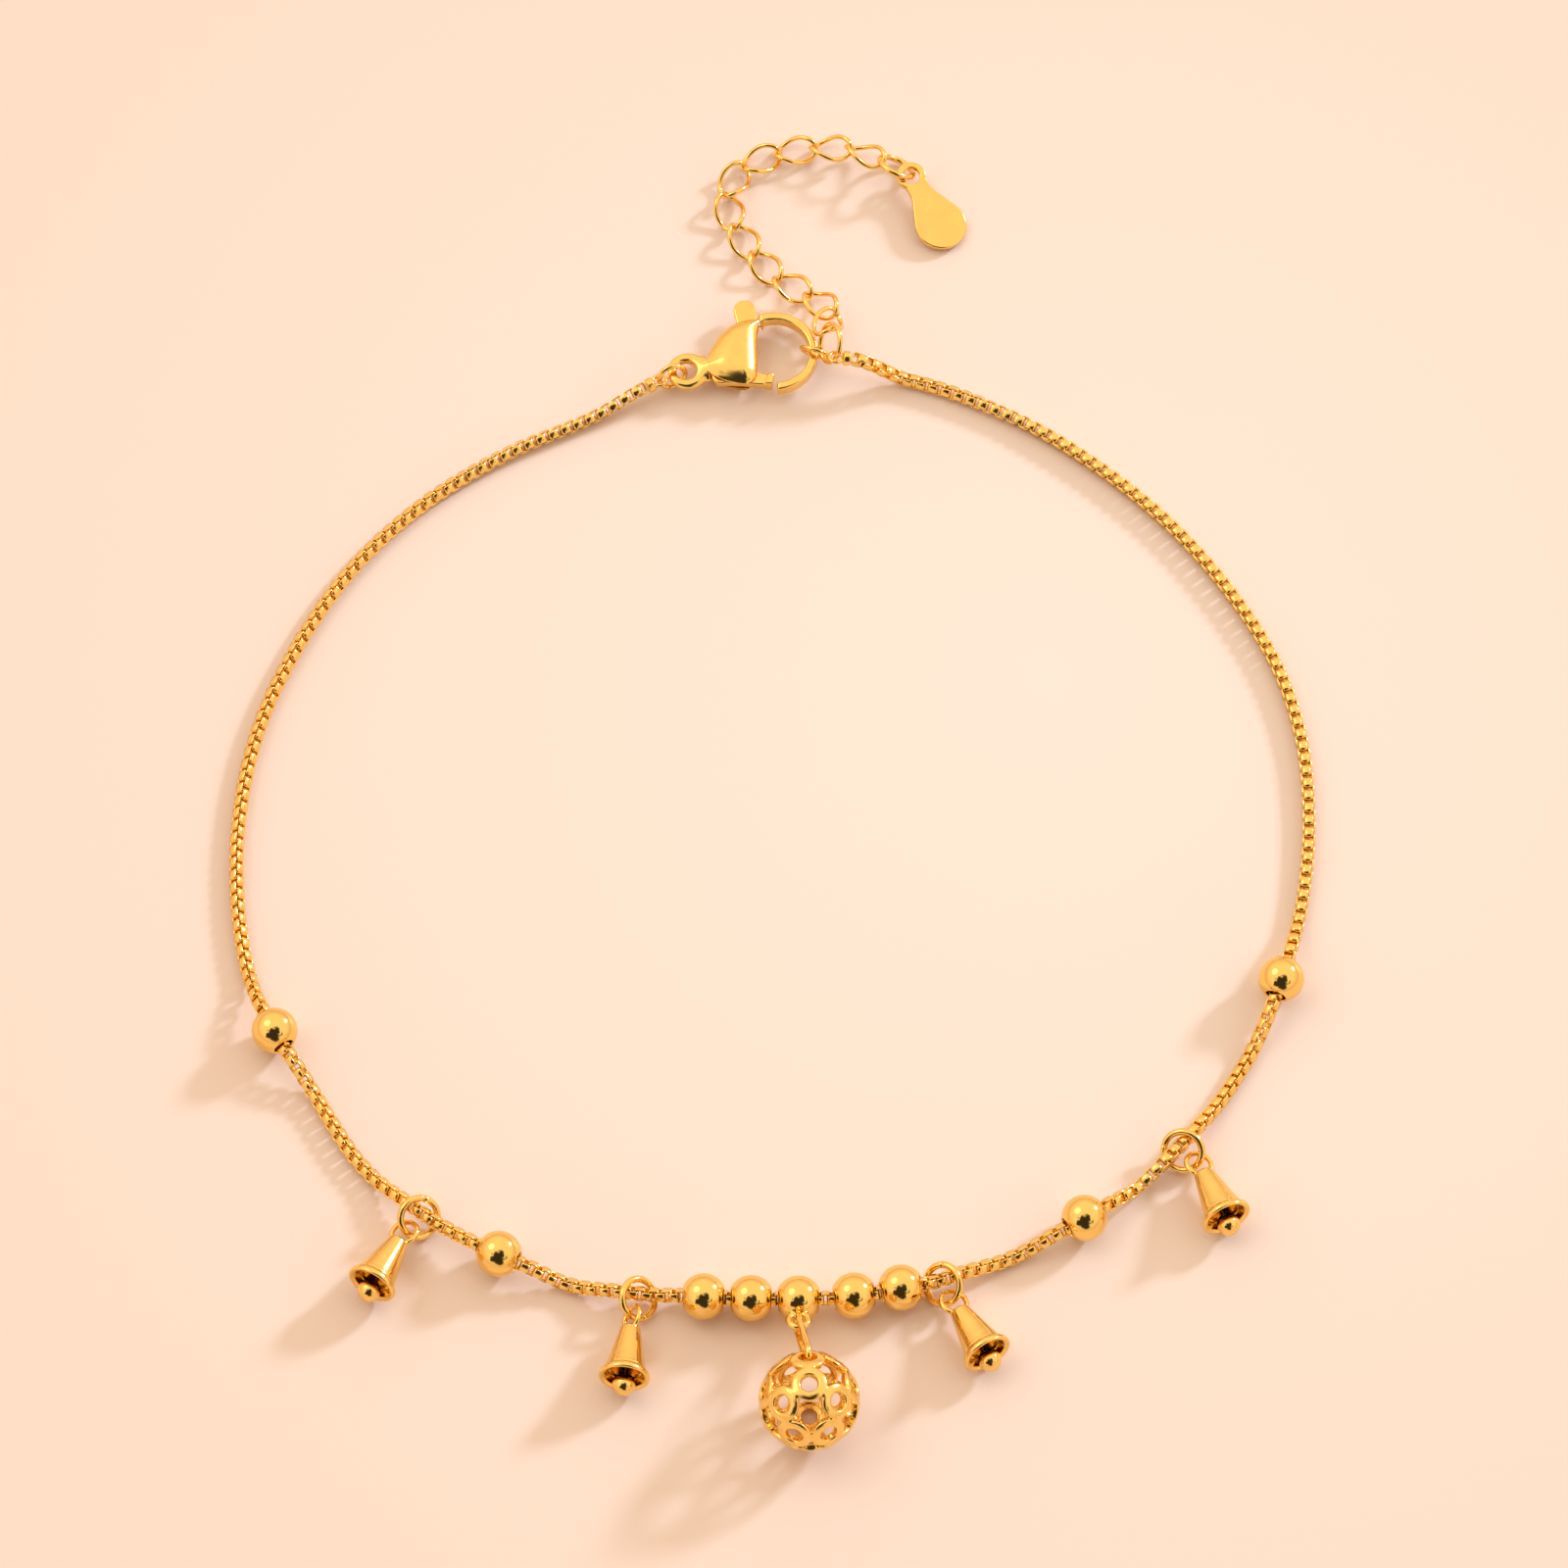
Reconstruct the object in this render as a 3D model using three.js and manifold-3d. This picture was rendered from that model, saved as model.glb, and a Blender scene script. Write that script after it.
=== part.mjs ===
// Charm anklet lying flat as a closed loop: box chain, round beads, bell charms, an openwork ball,
// a lobster clasp and a curb extension with a drop tag. Millimetres, +Z up, the clasp at +Y.
import * as THREE from "three";
import { mergeVertices } from "three/addons/utils/BufferGeometryUtils.js";
import Module from "manifold-3d";

// Driving dimensions, in millimetres and degrees
const CHAIN = { width: 0.9, sides: 8, step: 3, seam: 0.3 };
const BEAD = { diameter: 3, bore: 1.32, sides: 14, bands: 7, gap: 0.04 };
const LUG = { mean: 0.62, wire: 0.44, rise: 25 };
const JUMP = { mean: 1.27, wire: 0.46, lean: 38, dip: 12, hang: 0.35 };
const BELL = { crown: 1.3, mouth: 3.3, length: 3.85, wall: 0.3, roof: 0.5, loop: 0.84, loopWire: 0.34 };
const CLAPPER = { ball: 1.5, stem: 0.36, drop: 0.45, out: 0.3, gap: 0.3 };
const BALL = { diameter: 6.45, wall: 0.46, hole: 10.7, band: 21.3, relief: 0.13, away: 7.67, aside: 5 };
const BALL_RING = { wire: 0.42, width: 1.78, bar: 16 };
const CLASP = {
  hookAway: 6, hookOuter: 2.9, hookInner: 2.33, hookTall: 0.96, hookEnd: -99,
  tailOuter: 1.3, tailHole: 0.64, tailTall: 0.64, pod: 1.05, slot: 0.84, pin: 0.66, turn: 13,
};
const LEVER = { thick: 0.62, bore: 0.8, hub: 0.65, tab: 0.72, nose: 1.1 };
const TAIL_RING = { mean: 0.9, wire: 0.36, lean: 72 };
const HOOK_RING = { mean: 1, wire: 0.32, lean: 74 };
const JOINING_RING = { mean: 1.28, wire: 0.34, lean: 62 };
const EYE = { mean: 0.46, wire: 0.26, cap: 1, capLength: 0.5 };
const CURB = { pitch: 2.42, slack: 0.36, width: 2.4, wire: 0.3, twist: 45, links: 11, endRoll: -24 };
CURB.length = CURB.pitch + 2 * CURB.wire + CURB.slack;
const END_RING = { mean: 1.22, wire: 0.42, lean: 44 };
const TAG = {
  head: 1, hole: 0.58, neck: 0.8, round: 1.75, reach: 3.95, thick: 0.4, bevel: 0.08, roll: 4,
};
const RING_SIDES = 6;
const RING_STEPS = 16;
const PLAY = 0.12;
const FLOOR_GAP = 0.02;

// Where the clasp's tail lies
const CLASP_TAIL = [-6.48, 29.74];

// The box chain's route seen from above, from the clasp's tail round to its hook
const CHAIN_ROUTE = [
  [-9.5, 28.1], [-13.1, 26.2], [-18.8, 23.5], [-24.1, 19.9], [-28.6, 15.3], [-32.1, 9.7],
  [-34.6, 3.5], [-35.7, -3.2], [-35.5, -9.9], [-34.4, -15.1], [-32.84, -18.6], [-30.6, -21.9],
  [-27.2, -27.3], [-23.1, -31], [-18.1, -34], [-12.6, -35.9], [-7, -36.7], [-1.7, -36.95],
  [3.5, -36.9], [7.7, -36.2], [13, -34.4], [19.5, -31.3], [24.2, -27.6], [27.9, -23.2],
  [30.8, -18.3], [32.4, -14.2], [33.8, -8.5], [34.3, -3], [33.9, 3], [32.3, 8.5],
  [29.2, 14], [25.3, 18.9], [20.5, 23.2], [15.2, 26.7], [9.4, 29.2], [4.3, 30.3],
];
// The extension's route, from the clasp's rings to its end ring
const EXTENSION_ROUTE = [
  [3.2, 33.9], [1.9, 35.5], [-0.35, 37], [-1.95, 38.85], [-3.1, 40.7], [-3.75, 42.8], [-3.15, 44.75],
  [-1.5, 46], [0.8, 46.7], [3.35, 46.7], [5.5, 46.1], [7.6, 44.6],
];

// What is on each half of the chain, outwards from the hanger bead: the free chain before it in
// bead diameters, and for a bell the turn of its hooked point, its heading and its loop's roll
const LEFT_ROW = [
  { name: "bead_4", before: 0 },
  { name: "bead_3", before: 0 },
  { bell: 2, before: 0.72, hook: 15, heading: -6, roll: 56 },
  { name: "bead_2", before: 2.48 },
  { bell: 1, before: 1.27, hook: 8, heading: -28, roll: 20 },
  { name: "bead_1", before: 4.7 },
];
const RIGHT_ROW = [
  { name: "bead_5", before: 0.17 },
  { name: "bead_6", before: 0.01 },
  { bell: 3, before: 0.23, hook: 15, heading: 29, roll: -20 },
  { name: "bead_7", before: 2.71 },
  { bell: 4, before: 2.01, hook: 3, heading: 23, roll: -20 },
  { name: "bead_8", before: 3.88 },
];
const HANGER_SHARE = 0.4988;

const GOLD = new THREE.Color(0xe8b04a);
const UP = new THREE.Vector3(0, 0, 1);
const radians = THREE.MathUtils.degToRad;
const wasm = await Module();
wasm.setup();
const anklet = new THREE.Group();

function vec(x, y, z = 0) {
  return new THREE.Vector3(x, y, z);
}

function along(origin, direction, distance) {
  return origin.clone().addScaledVector(direction, distance);
}

function mix(a, b, angle) {
  return a.clone().multiplyScalar(Math.cos(angle)).addScaledVector(b, Math.sin(angle));
}

// The horizontal direction a quarter turn clockwise of a direction
function rightOf(direction) {
  return vec(direction.y, -direction.x).normalize();
}

// One named piece, its own frame given by an origin and two directions
function place(name, geometry, origin = vec(0, 0), xAxis = vec(1, 0), yAxis = vec(0, 1)) {
  const x = xAxis.clone().normalize();
  const z = x.clone().cross(yAxis).normalize();
  const y = z.clone().cross(x);
  const mesh = new THREE.Mesh(
    geometry,
    new THREE.MeshStandardMaterial({ color: GOLD, metalness: 1, roughness: 0.18 }),
  );
  mesh.name = name;
  mesh.position.copy(origin);
  mesh.quaternion.setFromRotationMatrix(new THREE.Matrix4().makeBasis(x, y, z));
  anklet.add(mesh);
  return mesh;
}

function solid(geometry, matrix = new THREE.Matrix4()) {
  const bare = geometry.clone().applyMatrix4(matrix);
  bare.deleteAttribute("normal");
  bare.deleteAttribute("uv");
  const merged = mergeVertices(bare, 1e-4);
  return new wasm.Manifold(
    new wasm.Mesh({
      numProp: 3,
      vertProperties: merged.attributes.position.array,
      triVerts: new Uint32Array(merged.index.array),
    }),
  );
}

function geometryOf(manifold) {
  const mesh = manifold.getMesh();
  const geometry = new THREE.BufferGeometry();
  geometry.setAttribute("position", new THREE.BufferAttribute(mesh.vertProperties, 3));
  geometry.setIndex(new THREE.BufferAttribute(mesh.triVerts, 1));
  return geometry;
}

function moved(x, y, z) {
  return new THREE.Matrix4().makeTranslation(x, y, z);
}

// A round ring in its own XY plane
function ringGeometry({ mean, wire }, steps = RING_STEPS, sides = RING_SIDES) {
  return new THREE.TorusGeometry(mean, wire / 2, sides, steps);
}

// A closed link: its centre line and its outward direction at each turn carry a round wire
function linkGeometry(centre, outward, wire, steps = RING_STEPS) {
  const geometry = new THREE.TorusGeometry(1, wire / 2, RING_SIDES, steps);
  const position = geometry.attributes.position;
  for (let i = 0; i < position.count; i += 1) {
    const turn = Math.atan2(position.getY(i), position.getX(i));
    const out = Math.hypot(position.getX(i), position.getY(i)) - 1;
    const { side, over } = outward(turn);
    const point = along(along(centre(turn), side, out), over, position.getZ(i));
    position.setXYZ(i, point.x, point.y, point.z);
  }
  return geometry;
}

// The directions across a link's wire, from its centre line
function across(centre, face) {
  return (turn) => {
    const nudge = 0.01;
    const tangent = centre(turn + nudge).sub(centre(turn - nudge)).normalize();
    const side = tangent.clone().cross(face(turn)).normalize();
    return { side, over: side.clone().cross(tangent) };
  };
}

// A straight-sided oval link
function ovalGeometry(length, width, wire) {
  const half = (length - width) / 2;
  const bend = (width - wire) / 2;
  const centre = (turn) => vec(
    half * THREE.MathUtils.clamp(Math.cos(turn) * 3, -1, 1) + bend * Math.cos(turn),
    bend * Math.sin(turn),
  );
  return linkGeometry(centre, across(centre, () => UP), wire);
}

// A curb link: an oval twisted about its length, so that it lies flat among its neighbours
function curbGeometry() {
  const halfLength = (CURB.length - CURB.wire) / 2;
  const halfWidth = (CURB.width - CURB.wire) / 2;
  const twistAt = (turn) => radians(CURB.twist) * Math.cos(turn);
  const centre = (turn) => {
    const lateral = halfWidth * Math.sin(turn);
    const twist = twistAt(turn);
    return vec(halfLength * Math.cos(turn), lateral * Math.cos(twist), lateral * Math.sin(twist));
  };
  const face = (turn) => vec(0, -Math.sin(twistAt(turn)), Math.cos(twistAt(turn)));
  return linkGeometry(centre, across(centre, face), CURB.wire);
}

// The chain's plan line, its ends moved to meet the eyes at the clasp
class ChainLine {
  constructor(route, start, end) {
    const last = route.length - 1;
    const points = route.map(([x, y], i) => {
      const nearStart = Math.max(0, 1 - (i * 4) / last);
      const nearEnd = Math.max(0, 1 - ((last - i) * 4) / last);
      const point = vec(x, y);
      point.addScaledVector(start.clone().sub(vec(...route[0])), nearStart);
      return point.addScaledVector(end.clone().sub(vec(...route[last])), nearEnd);
    });
    this.plan = new THREE.CatmullRomCurve3(points, false, "centripetal");
    this.plan.arcLengthDivisions = 2000;
    this.length = this.plan.getLength();
    this.heights = [];
  }

  // Keeps the chain at one height over a stretch, as a bead's bore or a ring does
  hold(from, to, height) {
    this.heights.push({ from, to, height });
    this.heights.sort((a, b) => a.from - b.from);
  }

  heightAt(s) {
    const lying = CHAIN.width / 2 + FLOOR_GAP;
    const held = this.heights.find((h) => s >= h.from && s <= h.to);
    if (held) return held.height;
    const before = this.heights.filter((h) => h.to < s).at(-1);
    const after = this.heights.find((h) => h.from > s);
    const settle = CHAIN.width * 4;
    const fall = (h, away) => {
      if (!h) return lying;
      const share = THREE.MathUtils.smoothstep(1 - away / settle, 0, 1);
      return lying + (h.height - lying) * share;
    };
    const behind = before ? fall(before, s - before.to) : lying;
    const ahead = after ? fall(after, after.from - s) : lying;
    if (before && after && after.from - before.to < settle) {
      const share = (s - before.to) / (after.from - before.to);
      return THREE.MathUtils.lerp(before.height, after.height, share);
    }
    return Math.max(behind, ahead);
  }

  at(s) {
    const point = this.plan.getPointAt(THREE.MathUtils.clamp(s / this.length, 0, 1));
    point.z = this.heightAt(s);
    return point;
  }
}

// A curve through stations, so that a tube has a section at each of them
class StationCurve extends THREE.Curve {
  constructor(points) {
    super();
    this.points = points;
  }

  getPointAt(share, target = vec(0, 0)) {
    const place = share * (this.points.length - 1);
    const i = Math.min(Math.floor(place), this.points.length - 2);
    return target.lerpVectors(this.points[i], this.points[i + 1], place - i);
  }

  getTangentAt(share, target = vec(0, 0)) {
    const i = Math.round(share * (this.points.length - 1));
    const last = this.points.length - 1;
    const before = this.points[i].clone().sub(this.points[Math.max(i - 1, 0)]).normalize();
    const after = this.points[Math.min(i + 1, last)].clone().sub(this.points[i]).normalize();
    return target.copy(before.add(after)).normalize();
  }
}

// A plain tube for a stretch of chain, with a section at each named station
function chainGeometry(line, stations) {
  const stops = [];
  stations.forEach((stop, i) => {
    if (i > 0) {
      const gap = stop - stations[i - 1];
      const parts = Math.ceil(gap / CHAIN.step);
      for (let k = 1; k < parts; k += 1) stops.push(stations[i - 1] + (gap * k) / parts);
    }
    stops.push(stop);
  });
  const section = new THREE.Shape();
  for (let k = 0; k < CHAIN.sides; k += 1) {
    const turn = ((k + 0.5) * 2 * Math.PI) / CHAIN.sides;
    const corner = [(CHAIN.width / 2) * Math.cos(turn), (CHAIN.width / 2) * Math.sin(turn)];
    if (k === 0) section.moveTo(...corner);
    else section.lineTo(...corner);
  }
  return new THREE.ExtrudeGeometry(section, {
    steps: stops.length - 1,
    extrudePath: new StationCurve(stops.map((s) => line.at(s))),
    curveSegments: 1,
  });
}

// A drilled ball, its bore along Y
function beadGeometry() {
  const radius = BEAD.diameter / 2;
  const bore = BEAD.bore / 2;
  const edge = Math.asin(bore / radius);
  const profile = [];
  for (let k = 0; k <= BEAD.bands; k += 1) {
    const turn = edge + ((Math.PI - 2 * edge) * k) / BEAD.bands;
    profile.push(new THREE.Vector2(radius * Math.sin(turn), -radius * Math.cos(turn)));
  }
  profile.push(profile[0].clone());
  return new THREE.LatheGeometry(profile, BEAD.sides);
}

// A drilled ball with an eye soldered to it, the eye at +X in the plane of the bore
function hangerGeometry() {
  const eye = ringGeometry(LUG, 14);
  return geometryOf(solid(beadGeometry()).add(solid(eye, moved(lugAway(), 0, 0))));
}

function lugAway() {
  return BEAD.diameter / 2 + LUG.mean - LUG.wire / 4;
}

// A bell with its mouth at +Y: cone, flared lip, hollow, and the loop soldered into its crown
function bellGeometry(roll) {
  const crown = BELL.crown / 2;
  const mouth = BELL.mouth / 2;
  const long = BELL.length;
  const wall = BELL.wall;
  const profile = [
    [0, 0], [crown * 0.72, 0], [crown, long * 0.04], [mouth * 0.78, long * 0.78],
    [mouth * 0.86, long * 0.87], [mouth * 0.98, long * 0.91], [mouth, long * 0.95],
    [mouth * 0.98, long * 0.99], [mouth * 0.91, long], [mouth * 0.78, long * 0.97],
    [mouth * 0.78 - wall, long * 0.78], [crown * 0.5, BELL.roof + wall], [0, BELL.roof],
  ].map(([r, l]) => new THREE.Vector2(r, l));
  const body = solid(new THREE.LatheGeometry(profile, 16));
  const loop = new THREE.TorusGeometry(BELL.loop, BELL.loopWire / 2, RING_SIDES, 16);
  loop.rotateY(radians(roll));
  return geometryOf(body.add(solid(loop, moved(0, -loopAway(), 0))));
}

function loopAway() {
  return BELL.loop - (BELL.roof - BELL.loopWire) * 1.3;
}

// A clapper: a ball on a stem, the stem's top at the origin and the ball towards +Y
function clapperGeometry(reach) {
  const ball = CLAPPER.ball / 2;
  const stem = CLAPPER.stem / 2;
  const meet = Math.asin(stem / ball);
  const profile = [new THREE.Vector2(0, 0), new THREE.Vector2(stem, 0)];
  const bands = 7;
  for (let k = 0; k <= bands; k += 1) {
    const turn = meet + ((Math.PI - meet) * k) / bands;
    const r = k === bands ? 0 : ball * Math.sin(turn);
    profile.push(new THREE.Vector2(r, reach - ball * Math.cos(turn)));
  }
  return new THREE.LatheGeometry(profile, 12);
}

// A dodecahedron's twenty corners as directions, one of them up and its neighbour towards +Y
function dodecahedronCorners() {
  const golden = (1 + Math.sqrt(5)) / 2;
  const corners = [];
  const signs = [1, -1];
  signs.forEach((a) => signs.forEach((b) => {
    signs.forEach((c) => corners.push(vec(a, b, c)));
    corners.push(vec(0, a / golden, b * golden), vec(a / golden, b * golden, 0));
    corners.push(vec(a * golden, 0, b / golden));
  }));
  corners.forEach((corner) => corner.normalize());
  const [top] = corners;
  const [next] = nearest(corners, top);
  const back = along(next, top, -next.dot(top)).normalize();
  const side = back.clone().cross(top);
  return corners.map((corner) => vec(corner.dot(side), corner.dot(back), corner.dot(top)));
}

// The three corners next to one
function nearest(corners, corner) {
  return corners.filter((other) => other !== corner)
    .sort((a, b) => a.angleTo(corner) - b.angleTo(corner)).slice(0, 3);
}

// The openwork ball: twenty fused rings at a dodecahedron's corners, star gaps between them.
// Each ring is built from its hole's edge, its crest and its outer edge, outside and inside.
function ballGeometry() {
  const corners = dodecahedronCorners();
  const radius = BALL.diameter / 2;
  const halfEdge = corners[0].angleTo(nearest(corners, corners[0])[0]) / 2;
  const band = radians(BALL.band);
  const hole = radians(BALL.hole);
  const neck = Math.acos(Math.tan(halfEdge) / Math.tan(band));
  const arcSteps = 4;
  const turns = [];
  for (let side = 0; side < 3; side += 1) {
    const start = (side * 2 * Math.PI) / 3 + neck;
    const span = (2 * Math.PI) / 3 - 2 * neck;
    for (let k = 0; k <= arcSteps; k += 1) turns.push(start + (span * k) / arcSteps);
  }
  const levels = [
    [hole, radius - BALL.relief], [(hole + band) / 2, radius], [band, radius - BALL.relief],
    [band, radius - BALL.wall + BALL.relief / 2], [(hole + band) / 2, radius - BALL.wall],
    [hole, radius - BALL.wall + BALL.relief / 2],
  ];
  const triangles = [];
  corners.forEach((corner) => {
    const [first] = nearest(corners, corner);
    const east = first.clone().addScaledVector(corner, -first.dot(corner)).normalize();
    const north = corner.clone().cross(east);
    const point = (level, turn) => {
      const [spread, away] = levels[level % levels.length];
      const side = mix(east, north, turns[turn % turns.length]);
      return mix(corner, side, spread).multiplyScalar(away);
    };
    turns.forEach((_, t) => levels.forEach((__, l) => {
      const openNeck = l === 2 && t % (arcSteps + 1) === arcSteps;
      if (openNeck) return;
      const [a, b, c, d] = [point(l, t), point(l + 1, t), point(l + 1, t + 1), point(l, t + 1)];
      triangles.push(a, b, c, a, c, d);
    }));
  });
  return new THREE.BufferGeometry().setFromPoints(triangles);
}

// A flat plate with thickness about its own middle plane
function plate(shape, thick, bevel = 0, curveSegments = 10) {
  const geometry = new THREE.ExtrudeGeometry(shape, {
    depth: thick - 2 * bevel, bevelEnabled: bevel > 0, bevelThickness: bevel,
    bevelSize: bevel, bevelOffset: -bevel, bevelSegments: 1, curveSegments,
  });
  return geometry.translate(0, 0, bevel - thick / 2);
}

// A closed outline through points given as x, y pairs
function outline(points) {
  return new THREE.Shape(points.map(([x, y]) => new THREE.Vector2(x, y)));
}

// A loft of oval sections across X, each row a station with its near and far edge and half height
function podGeometry() {
  const rows = [
    { x: 0.15, near: -0.2, far: 0.22, tall: 0.42 }, { x: 0.26, near: -0.44, far: 0.4, tall: 0.66 },
    { x: 0.39, near: -0.68, far: 0.62, tall: 0.88 }, { x: 0.53, near: -0.82, far: 0.82, tall: 1 },
    { x: 0.67, near: -0.86, far: 0.95, tall: 1 }, { x: 0.82, near: -0.78, far: 1, tall: 0.88 },
    { x: 0.96, near: 0.5, far: 1, tall: 0.66 }, { x: 1.06, near: 0.76, far: 0.97, tall: 0.5 },
  ];
  const sides = 14;
  const rings = rows.map((row) => {
    const middle = ((row.far + row.near) / 2) * CLASP.hookOuter;
    const half = ((row.far - row.near) / 2) * CLASP.hookOuter;
    return Array.from({ length: sides }, (_, k) => {
      const turn = (k * 2 * Math.PI) / sides;
      const height = row.tall * CLASP.pod * Math.sin(turn);
      return vec(row.x * CLASP.hookAway, middle + half * Math.cos(turn), height);
    });
  });
  const triangles = [];
  for (let i = 1; i < rings.length; i += 1) {
    for (let k = 0; k < sides; k += 1) {
      const next = (k + 1) % sides;
      const [a, b] = [rings[i - 1][k], rings[i - 1][next]];
      const [c, d] = [rings[i][next], rings[i][k]];
      triangles.push(a, b, c, a, c, d);
    }
  }
  for (let k = 1; k < sides - 1; k += 1) {
    const [start, end] = [rings[0], rings.at(-1)];
    triangles.push(start[0], start[k + 1], start[k], end[0], end[k], end[k + 1]);
  }
  return new THREE.BufferGeometry().setFromPoints(triangles);
}

// A place on the clasp, as shares of the hook's distance and of its radius
function onClasp(alongShare, acrossShare) {
  return [alongShare * CLASP.hookAway, acrossShare * CLASP.hookOuter];
}

const PIVOT = onClasp(0.36, -0.3);
const THUMB = onClasp(0.79, 1.22);
const SLOT_END = 0.93;
const NOSE = [onClasp(0.76, -0.42), onClasp(0.93, -0.6), onClasp(0.885, -0.83), onClasp(0.62, -0.66)];
const NOSE_HEAD = [onClasp(0.87, -0.535), NOSE[1], NOSE[2], onClasp(0.8, -0.773)];
const INNER_EDGE = [onClasp(0.8, -0.38), onClasp(0.84, -0.03), onClasp(0.88, 0.32), onClasp(0.935, 0.56)];

// The clasp's opening: the hook's inside, cut off by the body's slanting inner edge
function openingShape() {
  const top = onClasp(1, 0.72);
  const foot = onClasp(0.7, -1.3);
  const shape = new THREE.Shape();
  const far = CLASP.hookAway + CLASP.hookOuter * 1.1;
  shape.moveTo(...foot);
  INNER_EDGE.forEach((corner) => shape.lineTo(...corner));
  shape.lineTo(...top);
  shape.absarc(CLASP.hookAway, 0, CLASP.hookInner, Math.atan2(top[1], top[0] - CLASP.hookAway), 0, true);
  shape.lineTo(far, 0);
  shape.lineTo(far, foot[1]);
  return shape;
}

// The hook: a flat band bent round the opening, from inside the body to its tip
function hookShape() {
  const from = radians(98);
  const to = radians(CLASP.hookEnd);
  const shape = new THREE.Shape();
  shape.absarc(CLASP.hookAway, 0, CLASP.hookOuter, from, to, true);
  shape.absarc(CLASP.hookAway, 0, CLASP.hookInner, to, from, false);
  return shape;
}

// A round disc's outline
function disc(centre, radius) {
  return new THREE.Shape().absarc(...centre, radius, 0, 2 * Math.PI);
}

function claspBodyGeometry() {
  const tall = CLASP.pod * 3;
  const slotFrom = PIVOT[0] - LEVER.hub - PLAY;
  const slotTo = SLOT_END * CLASP.hookAway;
  const edge = CLASP.hookOuter * 2;
  const slotShape = outline([[slotFrom, -edge], [slotTo, -edge], [slotTo, edge], [slotFrom, edge]]);
  const pin = new THREE.CylinderGeometry(CLASP.pin / 2, CLASP.pin / 2, CLASP.pod * 1.3, 12);
  return geometryOf(
    solid(podGeometry())
      .subtract(solid(plate(openingShape(), tall, 0, 14)))
      .subtract(solid(plate(slotShape, CLASP.slot)))
      .add(solid(plate(hookShape(), CLASP.hookTall, 0.12, 14)))
      .add(solid(plate(disc([0, 0], CLASP.tailOuter), CLASP.tailTall, 0.14, 8)))
      .subtract(solid(plate(disc([0, 0], CLASP.tailHole), tall, 0, 8)))
      .add(solid(pin.rotateX(Math.PI / 2), moved(...PIVOT, 0))),
  );
}

// The lever: thumb tab, arm round its pivot, and the nose that closes the hook
function leverGeometry() {
  const [noseTop, noseTip, noseToe, noseHeel] = NOSE;
  const shape = new THREE.Shape();
  shape.absarc(...THUMB, LEVER.tab, 0, Math.PI);
  shape.lineTo(THUMB[0] - LEVER.tab, 0.8 * CLASP.hookOuter);
  shape.absarc(...PIVOT, LEVER.hub, radians(150), radians(280));
  [noseHeel, noseToe, noseTip, noseTop].forEach((corner) => shape.lineTo(...corner));
  shape.lineTo(...onClasp(0.75, 0.3));
  shape.lineTo(THUMB[0] + LEVER.tab, 0.9 * CLASP.hookOuter);
  return geometryOf(
    solid(plate(shape, LEVER.thick, 0, 6))
      .add(solid(plate(outline(NOSE_HEAD), LEVER.nose)))
      .subtract(solid(plate(disc(PIVOT, LEVER.bore / 2), CLASP.pod * 3, 0, 8))),
  );
}

// A soldered end of the box chain: an eye and the short cap that holds the last link, along +X
function chainEndGeometry() {
  const eye = solid(ringGeometry(EYE, 14));
  const cap = new THREE.CylinderGeometry(EYE.cap / 2, EYE.cap / 2 - 0.12, EYE.capLength, 10);
  cap.rotateZ(-Math.PI / 2);
  return geometryOf(eye.add(solid(cap, moved(EYE.mean + EYE.capLength / 2, 0, 0))));
}

// A flat drop-shaped tag, its hole at the origin and its round end towards +X
// The tag seen from above: a round head, a waist and a larger round end
function tagGeometry() {
  const shape = new THREE.Shape();
  const shoulder = radians(50);
  const flare = radians(115);
  const waist = [TAG.head * 1.4, TAG.neck];
  const spread = [TAG.reach * 0.58, (TAG.neck + TAG.round) * 0.465];
  const foot = [TAG.reach + TAG.round * Math.cos(flare), TAG.round * Math.sin(flare)];
  const head = [TAG.head * Math.cos(shoulder), TAG.head * Math.sin(shoulder)];
  const side = (points, way) => points.map(([x, y]) => new THREE.Vector2(x, y * way));
  shape.absarc(0, 0, TAG.head, shoulder, 2 * Math.PI - shoulder);
  shape.splineThru(side([waist, spread, foot], -1));
  shape.absarc(TAG.reach, 0, TAG.round, -flare, flare);
  shape.splineThru(side([spread, waist, head], 1));
  shape.holes.push(new THREE.Path().absarc(0, 0, TAG.hole, 0, 2 * Math.PI, true));
  return plate(shape, TAG.thick, TAG.bevel, 8);
}

// The clasp, level, its middle plane at the height of its thickest part
const claspAlong = vec(Math.cos(radians(CLASP.turn)), Math.sin(radians(CLASP.turn)));
const claspAcross = vec(-claspAlong.y, claspAlong.x);
const tail = vec(...CLASP_TAIL, CLASP.pod + FLOOR_GAP);
const hookCentre = along(tail, claspAlong, CLASP.hookAway);
place("clasp_body", claspBodyGeometry(), tail, claspAlong, claspAcross);
place("clasp_lever", leverGeometry(), tail, claspAlong, claspAcross);

// The height of a leaning ring that just clears the floor
function ringHeight({ mean, wire, lean }) {
  return mean * Math.sin(radians(lean)) + wire / 2 + FLOOR_GAP;
}

// The ring through the clasp's tail and the chain's first end
const tailOut = vec(-0.94, -0.34).normalize();
const tailRingAt = along(tail, tailOut, (CLASP.tailOuter + CLASP.tailHole) / 2 + PLAY / 2);
tailRingAt.z = Math.max(ringHeight(TAIL_RING), tail.z);
const tailRingSide = mix(rightOf(tailOut), UP, radians(TAIL_RING.lean));
place("tail_ring", ringGeometry(TAIL_RING), tailRingAt, tailOut, tailRingSide);
const leftEye = along(tailRingAt, tailOut, TAIL_RING.mean);

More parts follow.
